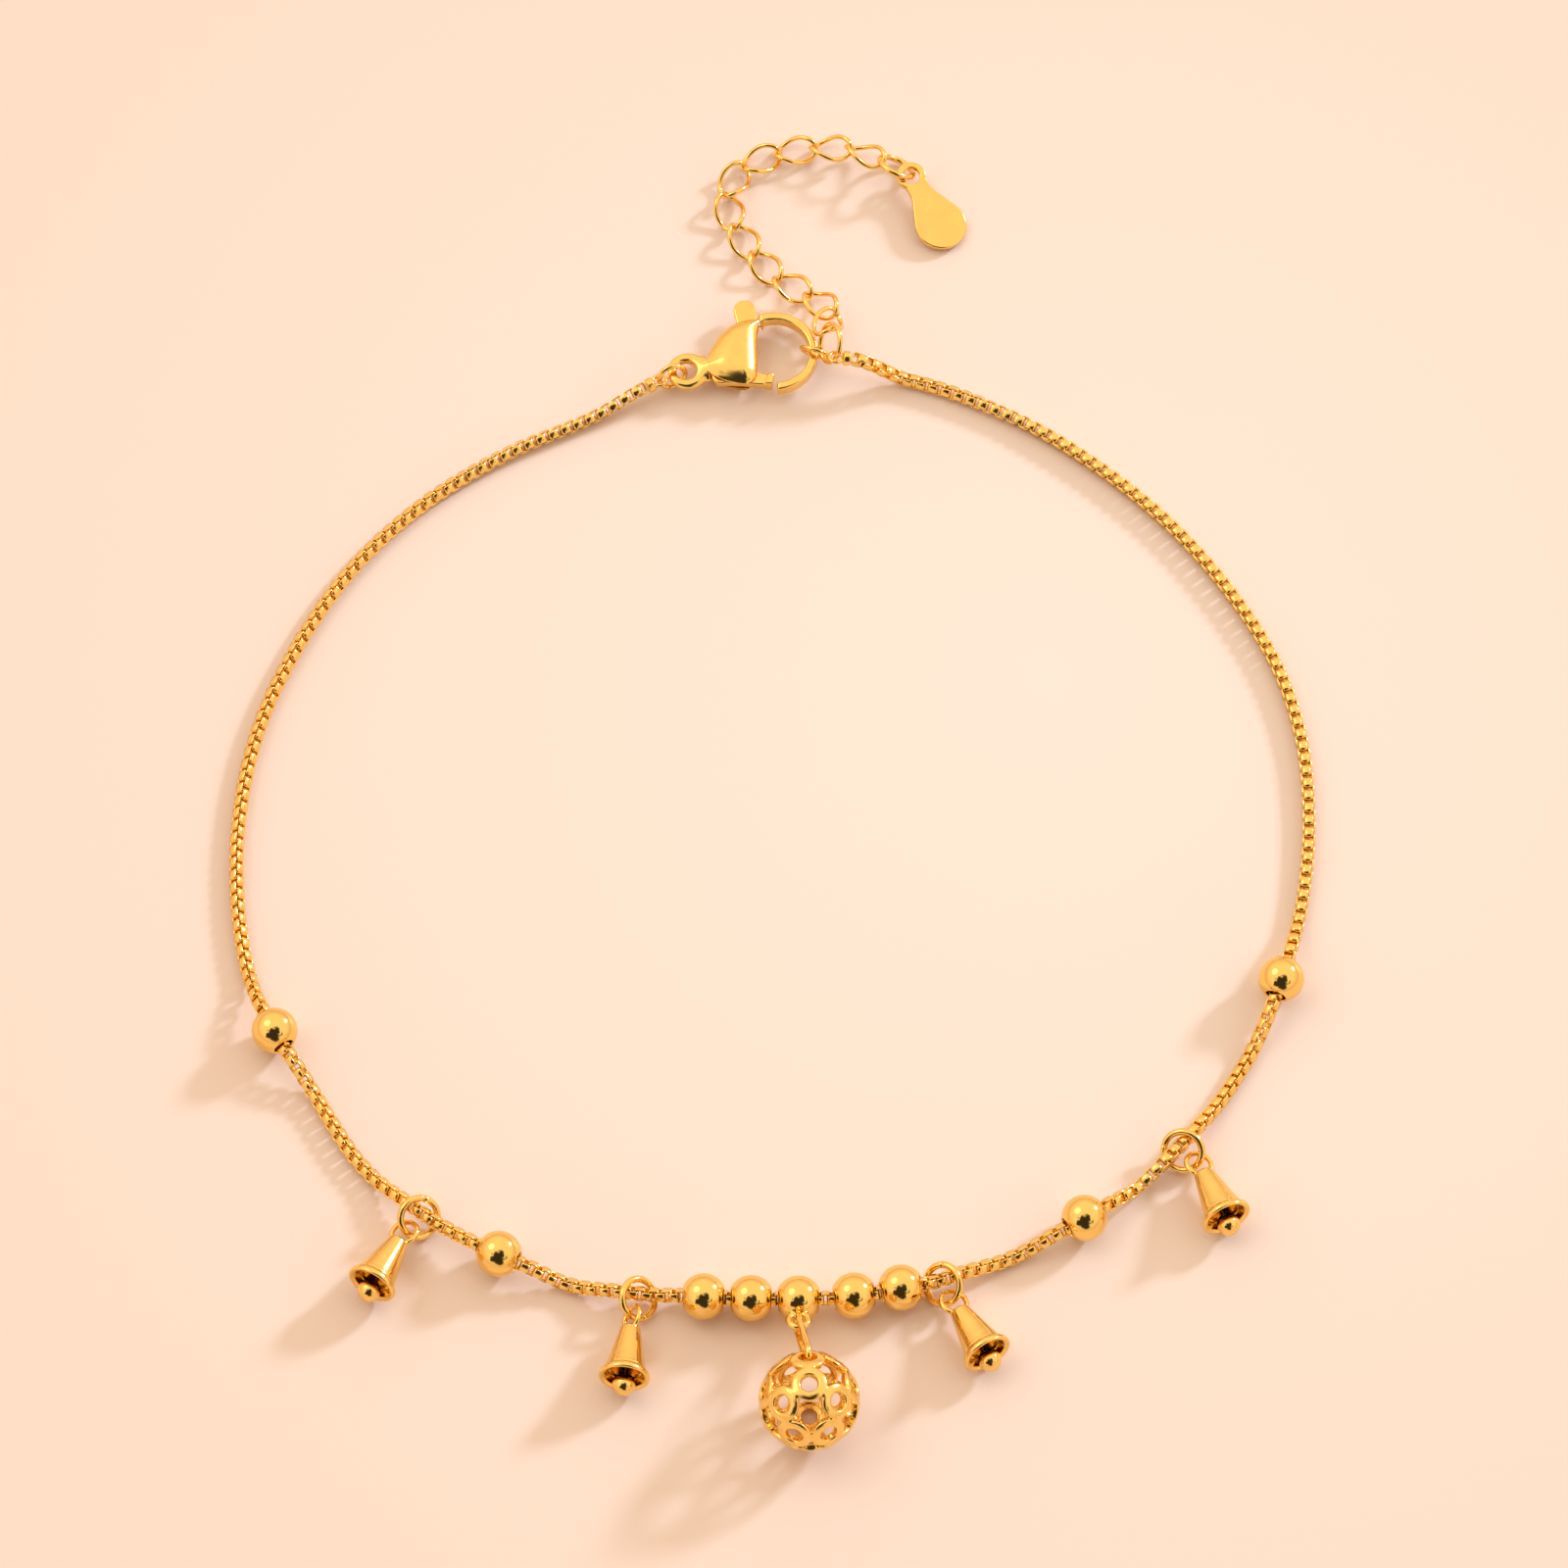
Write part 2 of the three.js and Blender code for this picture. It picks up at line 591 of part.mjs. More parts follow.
// The rings from the clasp's hook to the chain's other end
const hookOut = vec(1, 0.02).normalize();
const hookRingWay = vec(0.95, -0.3).normalize();
const hookBand = (CLASP.hookOuter + CLASP.hookInner) / 2;
const hookRingAt = along(hookCentre, hookOut, hookBand + PLAY);
hookRingAt.z = Math.max(ringHeight(HOOK_RING), tail.z);
const hookRingSide = mix(rightOf(hookRingWay), UP, radians(HOOK_RING.lean));
place("hook_ring", ringGeometry(HOOK_RING), hookRingAt, hookRingWay, hookRingSide);
const hookRingHole = HOOK_RING.mean - (HOOK_RING.wire + JOINING_RING.wire) / 2 - PLAY * 1.5;
const throughHook = along(hookRingAt, hookRingWay, hookRingHole);
throughHook.z = hookRingAt.z - HOOK_RING.mean * 0.2;
const HOOK_TURN = -78;
const EYE_TURN = 12;
const EXTENSION_TURN = 180;
const joiningOut = vec(0.21, -0.978).normalize();
const joiningSide = mix(rightOf(joiningOut).negate(), UP, radians(JOINING_RING.lean));
const joiningAt = along(throughHook, mix(joiningOut, joiningSide, radians(HOOK_TURN)), -JOINING_RING.mean);
place("joining_ring", ringGeometry(JOINING_RING), joiningAt, joiningOut, joiningSide);
const rightEyeWay = mix(joiningOut, joiningSide, radians(EYE_TURN));
const rightEye = along(joiningAt, rightEyeWay, JOINING_RING.mean);
const extensionWay = mix(joiningOut, joiningSide, radians(EXTENSION_TURN));
const extensionStart = along(joiningAt, extensionWay, JOINING_RING.mean);

// The chain's ends, and its line between them
const leftAway = vec(-0.87, -0.49).normalize();
const rightAway = vec(0.95, -0.02, -0.12).normalize();
const capReach = EYE.mean + EYE.capLength + PLAY;
const leftEyeSide = mix(rightOf(leftAway), UP, radians(TAIL_RING.lean - 90));
place("chain_end_left", chainEndGeometry(), leftEye, leftAway, leftEyeSide);
const rightTangent = mix(joiningOut, joiningSide, radians(EYE_TURN + 90));
place("chain_end_right", chainEndGeometry(), rightEye, rightAway, rightTangent.clone().cross(rightAway));
const chainStart = along(leftEye, leftAway, capReach);
const chainEnd = along(rightEye, rightAway, capReach);
const line = new ChainLine(CHAIN_ROUTE, vec(chainStart.x, chainStart.y), vec(chainEnd.x, chainEnd.y));
line.hold(0, CHAIN.seam, chainStart.z);
line.hold(line.length - CHAIN.seam, line.length, chainEnd.z);

// Along the chain: each piece takes its place from the ones before it
const hangerAt = line.length * HANGER_SHARE;
const beadHalf = BEAD.diameter / 2 + BEAD.gap / 2;
const lean = radians(JUMP.lean);
const dip = radians(JUMP.dip);
const jumpSpread = Math.hypot(Math.sin(dip), Math.sin(lean) * Math.cos(dip));
const jumpHeight = JUMP.mean * jumpSpread + JUMP.wire / 2 + FLOOR_GAP;
const chainInJump = jumpHeight + JUMP.hang * Math.sin(dip);
const hanging = [{ name: "hanger_bead", s: hangerAt }];
[[LEFT_ROW, -1], [RIGHT_ROW, 1]].forEach(([row, way]) => {
  let reach = beadHalf;
  row.forEach((piece) => {
    const half = piece.bell ? JUMP.wire : beadHalf;
    reach += piece.before * BEAD.diameter + half;
    hanging.push({ ...piece, way, s: hangerAt + way * reach });
    reach += half;
  });
});
hanging.forEach((piece) => {
  const half = piece.bell ? JUMP.mean * 0.8 : beadHalf;
  line.hold(piece.s - half, piece.s + half, piece.bell ? chainInJump : BEAD.diameter / 2);
});

// The two stretches of chain meet inside the hanger bead
const stops = line.heights.flatMap((held) => [held.from, held.to]);
const leftStops = [...stops.filter((s) => s < hangerAt), hangerAt - CHAIN.seam / 2];
const rightStops = [hangerAt + CHAIN.seam / 2, ...stops.filter((s) => s > hangerAt)];
place("chain_left", chainGeometry(line, leftStops));
place("chain_right", chainGeometry(line, rightStops));

// The middle of a stretch of chain and its way
function chordAt(s, half) {
  const from = line.at(s - half);
  const to = line.at(s + half);
  return { middle: mix(from, from, 0).add(to).multiplyScalar(0.5), way: to.sub(from).normalize() };
}

// A bell on its jump ring: the ring leans round the chain, the bell lies on its lip
function hangBell({ bell, way: side, s, hook, heading, roll }) {
  const { middle, way } = chordAt(s, JUMP.mean / 2);
  const outward = rightOf(way);
  const dipped = mix(outward, UP, -dip);
  const over = mix(UP, outward, dip);
  const leaning = mix(way.multiplyScalar(side), over, lean);
  const ringAt = along(middle, dipped, JUMP.hang);
  place(`bell_ring_${bell}`, ringGeometry(JUMP), ringAt, dipped, leaning);

  const hooked = along(ringAt, mix(dipped, leaning, radians(hook)), JUMP.mean);
  const level = vec(Math.sin(radians(heading)), -Math.cos(radians(heading)));
  const loopAt = along(hooked, level, PLAY);
  loopAt.z = Math.max(loopAt.z, BELL.loop + BELL.loopWire / 2);
  const reach = loopAway() + BELL.length * 0.95;
  const lip = BELL.mouth / 2 + FLOOR_GAP;
  let rise = 0;
  for (let k = 0; k < 20; k += 1) rise = Math.asin((lip * Math.cos(rise) - loopAt.z) / reach);
  const axis = mix(level, UP, rise);
  const sideways = rightOf(level);
  const crownAt = along(loopAt, axis, loopAway());
  place(`bell_${bell}`, bellGeometry(roll), crownAt, sideways, axis);

  const down = mix(UP, level, rise).negate();
  const stemTop = along(crownAt, axis, BELL.roof + CLAPPER.gap);
  const ballAt = along(along(crownAt, axis, BELL.length + CLAPPER.out), down, CLAPPER.drop);
  const stemWay = ballAt.sub(stemTop);
  place(`clapper_${bell}`, clapperGeometry(stemWay.length()), stemTop, sideways, stemWay);
}

let hangerCentre;
let lugBar;
hanging.forEach((piece) => {
  if (piece.bell) {
    hangBell(piece);
    return;
  }
  const { middle, way } = chordAt(piece.s, beadHalf);
  if (piece.name === "hanger_bead") {
    const outward = mix(rightOf(way), UP, radians(LUG.rise));
    place(piece.name, hangerGeometry(), middle, outward, way);
    hangerCentre = middle;
    lugBar = along(middle, outward, lugAway() + LUG.mean);
    return;
  }
  place(piece.name, beadGeometry(), middle, rightOf(way), way);
});

// The openwork ball lies in front of the hanger bead
const ballWay = vec(Math.sin(radians(BALL.aside)), -Math.cos(radians(BALL.aside)));
const ballAt = along(hangerCentre, ballWay, BALL.away);
const ballShape = ballGeometry();
ballShape.computeBoundingBox();
ballAt.z = FLOOR_GAP - ballShape.boundingBox.min.z;
place("filigree_ball", ballShape, ballAt, vec(1, 0.05), vec(-0.05, 1));

// The oval ring from the eye on the hanger bead to the nearest edge of the ball's upper back ring
const backRing = nearest(dodecahedronCorners(), UP)
  .concat(dodecahedronCorners().filter((c) => c.z > 0.7 && c.z < 0.8))
  .sort((a, b) => b.y - a.y)[0];
const toLug = lugBar.clone().sub(ballAt);
const towards = along(toLug, backRing, -toLug.dot(backRing)).normalize();
const ballBarWay = mix(backRing, towards, radians(BALL_RING.bar));
const ballBar = along(ballAt, ballBarWay, BALL.diameter / 2 - BALL.wall / 2);
const span = lugBar.clone().sub(ballBar);
const spanNormal = backRing.clone().cross(towards);
const ovalAt = along(ballBar, span, 0.5);
place(
  "ball_ring",
  ovalGeometry(span.length() + BALL_RING.width, BALL_RING.width, BALL_RING.wire),
  ovalAt, span, spanNormal.cross(span),
);

// The extension: curb links one pitch apart along their route, then the end ring and the tag
const curbLift = CURB.wire / 2 + CURB.width * 0.16 + FLOOR_GAP;
const extensionLine = new THREE.CatmullRomCurve3(
  [extensionStart, ...EXTENSION_ROUTE.map(([x, y], i) => {
    const fall = (extensionStart.z - curbLift) * ([0.55, 0.12][i] || 0);
    const rise = CURB.wire * ([1.3, 2.2, 2.4][i - EXTENSION_ROUTE.length + 3] || 0);
    return vec(x, y, curbLift + fall + rise);
  })], false, "centripetal",
);
extensionLine.arcLengthDivisions = 1000;
const extensionLength = extensionLine.getLength();
const barAway = (CURB.length - CURB.wire) / 2;
const FIRST_PLAY = 6.5;
const firstLink = barAway - (CURB.wire + JOINING_RING.wire) / 2 - PLAY * FIRST_PLAY;
let linkAt;
let linkWay;
for (let i = 0; i < CURB.links; i += 1) {
  const share = (firstLink + i * CURB.pitch) / extensionLength;
  linkAt = extensionLine.getPointAt(share);
  linkWay = extensionLine.getTangentAt(share);
  const roll = radians(CURB.endRoll) * Math.max(0, 1 - (CURB.links - 1 - i) / 2);
  const linkSide = mix(rightOf(linkWay).negate(), UP, roll);
  place(`extension_link_${i + 1}`, curbGeometry(), linkAt, linkWay, linkSide);
}
const endBar = along(linkAt, linkWay, barAway);
const endWay = vec(0.8, -0.6).normalize();
const endSide = mix(rightOf(endWay).negate(), UP, -radians(END_RING.lean));
const END_TURN = 202;
const endReach = END_RING.mean - (END_RING.wire + CURB.wire) / 2 - PLAY / 2;
const endRingAt = along(endBar, mix(endWay, endSide, radians(END_TURN)), -endReach);
endRingAt.z = ringHeight(END_RING);
place("end_ring", ringGeometry(END_RING), endRingAt, endWay, endSide);
const tagHoleAt = along(endRingAt, endWay, END_RING.mean);
const tagLevel = vec(0.503, -0.864).normalize();
const tagDrop = Math.asin((tagHoleAt.z - TAG.thick / 2 - FLOOR_GAP) / (TAG.reach + TAG.round));
const tagWay = mix(tagLevel, UP, -tagDrop);
const tagSide = mix(rightOf(tagLevel).negate(), UP, -radians(TAG.roll));
place("tag", tagGeometry(), tagHoleAt, tagWay, tagSide);

// The anklet's own frame: the middle of its outline on the floor
const box = new THREE.Box3().setFromObject(anklet, true);
const middle = box.getCenter(vec(0, 0));
anklet.children.forEach((piece) => piece.position.sub(vec(middle.x, middle.y, box.min.z)));

export default anklet;
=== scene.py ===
"""The charm anklet as it looks: box chain, beads, bells, openwork ball, clasp and extension.

Every piece is laid out in the frame's own metres, in the place of the solids it stands for, and
rides on the anklet or on the clasp's lever.
"""

import logging
import math
from dataclasses import dataclass
from enum import Enum
from functools import cached_property
from typing import Callable, Sequence

import bpy
import numpy as np
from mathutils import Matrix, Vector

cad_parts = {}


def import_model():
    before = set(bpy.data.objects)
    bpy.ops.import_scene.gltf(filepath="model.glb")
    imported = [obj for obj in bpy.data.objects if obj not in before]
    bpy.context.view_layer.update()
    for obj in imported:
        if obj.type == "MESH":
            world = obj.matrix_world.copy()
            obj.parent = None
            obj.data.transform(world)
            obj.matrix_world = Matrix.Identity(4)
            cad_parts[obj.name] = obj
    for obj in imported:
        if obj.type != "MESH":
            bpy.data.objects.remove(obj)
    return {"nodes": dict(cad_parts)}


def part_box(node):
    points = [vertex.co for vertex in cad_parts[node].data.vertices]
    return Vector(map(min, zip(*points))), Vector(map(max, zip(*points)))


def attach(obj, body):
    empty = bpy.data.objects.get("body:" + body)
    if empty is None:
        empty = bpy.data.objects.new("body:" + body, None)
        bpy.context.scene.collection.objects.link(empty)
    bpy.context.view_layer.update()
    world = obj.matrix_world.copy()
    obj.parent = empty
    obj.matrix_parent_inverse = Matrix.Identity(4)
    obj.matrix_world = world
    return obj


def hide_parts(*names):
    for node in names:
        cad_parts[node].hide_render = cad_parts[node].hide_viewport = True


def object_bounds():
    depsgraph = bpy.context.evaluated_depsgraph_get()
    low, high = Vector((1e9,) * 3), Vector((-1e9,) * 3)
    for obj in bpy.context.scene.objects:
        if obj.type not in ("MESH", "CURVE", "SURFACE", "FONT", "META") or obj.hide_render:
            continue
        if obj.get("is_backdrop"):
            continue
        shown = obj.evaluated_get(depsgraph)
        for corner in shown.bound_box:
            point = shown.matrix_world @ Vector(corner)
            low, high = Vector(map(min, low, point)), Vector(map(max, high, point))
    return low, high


Array = np.ndarray
Field = Callable[[Array], Array]
log = logging.getLogger("anklet")

MM = 0.001
UP = np.array([0.0, 0.0, 1.0])
BODY = "anklet"
LEVER_BODY = "lever"

# The box chain's route seen from above, in metres, from the clasp's tail round to its hook
CHAIN_ROUTE = [
    (-0.0095, 0.0281), (-0.0131, 0.0262), (-0.0188, 0.0235), (-0.0241, 0.0199), (-0.0286, 0.0153),
    (-0.0321, 0.0097), (-0.0346, 0.0035), (-0.0357, -0.0032), (-0.0355, -0.0099), (-0.0344, -0.0151),
    (-0.03284, -0.0186), (-0.0306, -0.0219), (-0.0272, -0.0273), (-0.0231, -0.031), (-0.0181, -0.034),
    (-0.0126, -0.0359), (-0.007, -0.0367), (-0.0017, -0.03695), (0.0035, -0.0369), (0.0077, -0.0362),
    (0.013, -0.0344), (0.0195, -0.0313), (0.0242, -0.0276), (0.0279, -0.0232), (0.0308, -0.0183),
    (0.0324, -0.0142), (0.0338, -0.0085), (0.0343, -0.003), (0.0339, 0.003), (0.0323, 0.0085),
    (0.0292, 0.014), (0.0253, 0.0189), (0.0205, 0.0232), (0.0152, 0.0267), (0.0094, 0.0292),
    (0.0043, 0.0303),
]
# The clasp's tail on the same plan
CLASP_TAIL = (-0.00648, 0.02974)
CLASP_TURN = math.radians(13)
CLASP_ALONG = np.array([math.cos(CLASP_TURN), math.sin(CLASP_TURN), 0])
CLASP_ACROSS = np.array([-CLASP_ALONG[1], CLASP_ALONG[0], 0])


class Side(Enum):
    """The two halves of the chain, outwards from the hanger bead."""

    LEFT = -1
    RIGHT = 1


def unit(v: Array) -> Array:
    """The direction of a vector."""
    return v / np.linalg.norm(v)


def mix(a: Array, b: Array, angle: float) -> Array:
    """A direction turned from a towards b by an angle in radians."""
    return a * math.cos(angle) + b * math.sin(angle)


def units(rows: Array) -> Array:
    """The directions of rows of vectors."""
    return rows / np.linalg.norm(rows, axis=1, keepdims=True)


def full_turn(steps: int) -> Array:
    """Even angles round a circle."""
    return np.arange(steps) * 2 * math.pi / steps


def tangents(centres: Array) -> Array:
    """The run of a closed line at each of its points."""
    return np.roll(centres, -1, axis=0) - np.roll(centres, 1, axis=0)


def eased(share: float) -> float:
    """A share from 0 to 1 that starts and ends softly."""
    return share * share * (3 - 2 * share)


def right_of(v: Array) -> Array:
    """The level direction a quarter turn clockwise of a direction."""
    return unit(np.array([v[1], -v[0], 0.0]))


def smin(a: Array, b: Array, blend: float) -> Array:
    """Joins two fields with a fillet of about the blend's size."""
    h = np.clip(0.5 + 0.5 * (b - a) / blend, 0, 1)
    return b + (a - b) * h - blend * h * (1 - h)


def smax(a: Array, b: Array, blend: float) -> Array:
    """Keeps what is in both fields, with an eased edge."""
    return -smin(-a, -b, blend)


def rounded(a: Array, b: Array, ease: float) -> Array:
    """Keeps what is in both fields, with a round edge."""
    a, b = a + ease, b + ease
    return np.minimum(np.maximum(a, b), 0) + np.hypot(np.maximum(a, 0), np.maximum(b, 0)) - ease


def thick(flat: Array, z: Array, half: float, ease: float) -> Array:
    """Gives a flat outline's field a thickness and eased edges.

    Args:
        flat: distance to the outline in its own plane.
        z: height over the plane.
        half: half the thickness.
        ease: radius of the edge.

    Returns:
        The field of the plate.
    """
    return rounded(flat, np.abs(z) - half, ease)


def polygon(points: Sequence[tuple[float, float]], x: Array, y: Array) -> Array:
    """Signed distance to a closed outline in its plane.

    Args:
        points: the corners in order.
        x: first coordinate of each place.
        y: second coordinate of each place.

    Returns:
        The distance, negative inside.
    """
    corners = np.array(points)
    distance = np.full(x.shape, np.inf)
    inside = np.zeros(x.shape, bool)
    for (ax, ay), (bx, by) in zip(corners, np.roll(corners, -1, axis=0)):
        ex, ey, px, py = bx - ax, by - ay, x - ax, y - ay
        t = np.clip((px * ex + py * ey) / (ex * ex + ey * ey), 0, 1)
        distance = np.minimum(distance, np.hypot(px - ex * t, py - ey * t))
        crosses = (ay > y) != (by > y)
        with np.errstate(divide="ignore", invalid="ignore"):
            inside ^= crosses & (x < ex * (y - ay) / (by - ay) + ax)
    return np.where(inside, -distance, distance)


def curve_through(points: Sequence[tuple[float, float]], steps: int = 8) -> Array:
    """A smooth open line through points in a plane.

    Args:
        points: what it goes through, in order.
        steps: points in each stretch.

    Returns:
        The line's points as rows.
    """
    held = np.array([points[0], *points, points[-1]])
    t = np.linspace(0, 1, steps, endpoint=False)[:, None]
    parts = []
    for a, b, c, d in zip(held, held[1:], held[2:], held[3:]):
        second, third = 2 * a - 5 * b + 4 * c - d, 3 * b - a - 3 * c + d
        parts.append(b + ((c - a) * t + second * t ** 2 + third * t ** 3) / 2)
    return np.vstack([*parts, held[-1:]])


def torus_field(p: Array, mean: float, wire: float) -> Array:
    """Field of a round ring in the XY plane of its own places."""
    return np.hypot(np.hypot(p[:, 0], p[:, 1]) - mean, p[:, 2]) - wire / 2


@dataclass(frozen=True)
class Pose:
    """A piece's own frame: its origin and three directions as rows."""

    origin: Array
    axes: Array

    @staticmethod
    def of(origin: Array, x: Array, y: Array) -> "Pose":
        """A frame from its X and a direction near its Y."""
        x = unit(x)
        z = unit(np.cross(x, y))
        return Pose(np.array(origin), np.array([x, np.cross(z, x), z]))

    @staticmethod
    def on(origin: Array, x: Array, y: Array) -> "Pose":
        """A frame from two directions that are square to each other."""
        return Pose(origin, np.array([x, y, np.cross(x, y)]))

    def out(self, points: Array) -> Array:
        """The piece's own points in the anklet's frame."""
        return points @ self.axes + self.origin


def node_points(node: str) -> Array:
    """The separate corners of a node's solid."""
    mesh = frame["nodes"][node].data
    flat = np.empty(len(mesh.vertices) * 3)
    mesh.vertices.foreach_get("co", flat)
    return np.unique(np.round(flat.reshape(-1, 3), 7), axis=0)


def principal(points: Array) -> tuple[Array, Array]:
    """The middle of some points and their main directions, the longest first."""
    middle = points.mean(axis=0)
    _, vectors = np.linalg.eigh(np.cov((points - middle).T))
    return middle, vectors.T[::-1]


def mesh_piece(name: str, points: Array, faces: Array, node: str, body: str = BODY) -> bpy.types.Object:
    """Makes a smooth piece in a node's place.

    Args:
        name: the piece's name.
        points: vertices in metres.
        faces: rows of vertex numbers, all of one length.
        node: the solid it stands for.
        body: the body it rides on.

    Returns:
        The new object.
    """
    mesh = bpy.data.meshes.new(name)
    corners = faces.shape[1]
    mesh.vertices.add(len(points))
    mesh.vertices.foreach_set("co", np.asarray(points, np.float32).ravel())
    mesh.loops.add(faces.size)
    mesh.loops.foreach_set("vertex_index", faces.astype(np.int32).ravel())
    mesh.polygons.add(len(faces))
    mesh.polygons.foreach_set("loop_start", np.arange(0, faces.size, corners, dtype=np.int32))
    mesh.update(calc_edges=True)
    mesh.validate()
    mesh.shade_smooth()
    piece = bpy.data.objects.new(name, mesh)
    bpy.context.collection.objects.link(piece)
    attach(piece, body)
    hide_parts(node)
    return piece


def grid_faces(rows: int, columns: int, closed_rows: bool) -> Array:
    """Faces of a grid of points that closes round its columns.

    Args:
        rows: number of sections.
        columns: points in a section.
        closed_rows: whether the last section joins the first.

    Returns:
        Rows of four vertex numbers.
    """
    r = np.arange(rows if closed_rows else rows - 1)[:, None]
    c = np.arange(columns)[None, :]
    near, far = r * columns, ((r + 1) % rows) * columns
    turned = (c + 1) % columns
    return np.stack([near + c, far + c, far + turned, near + turned], axis=-1).reshape(-1, 4)


def sweep(centres: Array, sides: Array, overs: Array, section: Array) -> tuple[Array, Array]:
    """Carries a section round a closed line.

    Args:
        centres: points of the line.
        sides: first direction of the section at each point.
        overs: second direction of the section at each point.
        section: the section's points as pairs.

    Returns:
        Vertices and faces.
    """
    points = (
        centres[:, None]
        + sides[:, None] * section[None, :, 0:1]
        + overs[:, None] * section[None, :, 1:2]
    )
    return points.reshape(-1, 3), grid_faces(len(centres), len(section), True)


def round_section(wire: float, sides: int) -> Array:
    """A round wire's section."""
    turn = full_turn(sides)
    return np.stack([np.cos(turn), np.sin(turn)], axis=1) * wire / 2


def lathe(profile: Array, steps: int) -> tuple[Array, Array]:
    """Turns a closed profile of radius and length round Y.

    Args:
        profile: pairs of radius and length.
        steps: points round the axis.

    Returns:
        Vertices and faces.
    """
    turn = full_turn(steps)
    points = np.stack([
        np.outer(np.sin(turn), profile[:, 0]),
        np.tile(profile[:, 1], (steps, 1)),
        np.outer(np.cos(turn), profile[:, 0]),
    ], axis=-1)
    return points.reshape(-1, 3), grid_faces(steps, len(profile), True)


CORNERS = np.array([(i, j, k) for i in (0, 1) for j in (0, 1) for k in (0, 1)])
# How a skin is made: places tried at once, rounds of moving its points, and the least slope trusted
CHUNK = 200000
ROUNDS = 4
LEAST_SLOPE = 0.05
TINY = 1e-12
EDGES = [(a, b) for a in range(8) for b in range(a + 1, 8) if np.abs(CORNERS[a] - CORNERS[b]).sum() == 1]


def skin(field: Field, low: Array, high: Array, step: float) -> tuple[Array, Array]:
    """Makes the smooth surface of a field, its points moved exactly onto it.

    Args:
        field: distance to the surface, negative inside.
        low: lowest corner of the piece.
        high: highest corner of the piece.
        step: grid size.

    Returns:
        Vertices and four-cornered faces.
    """
    axes = [np.arange(lo - 2 * step, hi + 3 * step, step) for lo, hi in zip(low, high)]
    shape = tuple(len(a) for a in axes)
    places = np.stack(np.meshgrid(*axes, indexing="ij"), axis=-1).reshape(-1, 3)
    parts = np.array_split(places, max(1, len(places) // CHUNK))
    values = np.concatenate([field(part) for part in parts]).reshape(shape)
    inside = values < 0
    cells = tuple(n - 1 for n in shape)
    corner = [inside[i:i + cells[0], j:j + cells[1], k:k + cells[2]] for i, j, k in CORNERS]
    count = np.sum(corner, axis=0)
    active = np.argwhere((count > 0) & (count < 8))
    ids = np.full(cells, -1)
    ids[tuple(active.T)] = np.arange(len(active))
    at = [values[tuple((active + c).T)] for c in CORNERS]
    total = np.zeros((len(active), 3))
    hits = np.zeros(len(active))
    for a, b in EDGES:
        cross = (at[a] < 0) != (at[b] < 0)
        t = np.where(cross, at[a] / np.where(cross, at[a] - at[b], 1), 0)[:, None]
        total += np.where(cross[:, None], CORNERS[a] + (CORNERS[b] - CORNERS[a]) * t, 0)
        hits += cross
    origin = np.array([a[0] for a in axes])
    points = origin + (active + total / hits[:, None]) * step
    faces = []
    for axis in range(3):
        other, third = (axis + 1) % 3, (axis + 2) % 3
        shift = np.zeros(3, int)
        shift[axis] = 1
        near = inside[:cells[0], :cells[1], :cells[2]]
        far = inside[shift[0]:, shift[1]:, shift[2]:][:cells[0], :cells[1], :cells[2]]
        edges = np.argwhere(near != far)
        edges = edges[(edges[:, other] > 0) & (edges[:, third] > 0)]
        flip = near[tuple(edges.T)]
        quad = []
        for back_other, back_third in ((1, 1), (0, 1), (0, 0), (1, 0)):
            cell = edges.copy()
            cell[:, other] -= back_other
            cell[:, third] -= back_third
            quad.append(ids[tuple(cell.T)])
        quad = np.stack(quad, axis=1)
        quad[~flip] = quad[~flip][:, ::-1]
        faces.append(quad)
    nudge = step * 0.05
    for _ in range(ROUNDS):
        value = field(points)
        slope = np.stack([
            (field(points + d) - field(points - d)) / (2 * nudge) for d in np.eye(3) * nudge
        ], axis=1)
        size = np.maximum((slope ** 2).sum(axis=1), LEAST_SLOPE)
        move = slope * (value / size)[:, None]
        length = np.linalg.norm(move, axis=1, keepdims=True)
        points = points - move * np.minimum(1, 0.5 * step / np.maximum(length, TINY))
    return points, np.concatenate(faces)


def feed(tree: bpy.types.NodeTree, node: bpy.types.Node, links: dict) -> None:
    """Links outputs to a node's inputs, each by name or number."""
    for socket, source in links.items():
        tree.links.new(source, node.inputs[socket])


def add_node(
    tree: bpy.types.NodeTree, kind: str, values: dict | None = None, links: dict | None = None
) -> bpy.types.Node:
    """Adds a shader node.

    Args:
        tree: the nodes it joins.
        kind: its type.
        values: constants of its inputs, by name or number.
        links: outputs that feed its inputs, by name or number.

    Returns:
        The new node.
    """
    node = tree.nodes.new(kind)
    for socket, value in (values or {}).items():
        node.inputs[socket].default_value = value
    feed(tree, node, links or {})
    return node


def new_material(name: str) -> tuple[bpy.types.Material, bpy.types.NodeTree, bpy.types.Node]:
    """A material with its nodes and its shader."""
    material = bpy.data.materials.new(name)
    material.use_nodes = True
    tree = material.node_tree
    return material, tree, tree.nodes["Principled BSDF"]


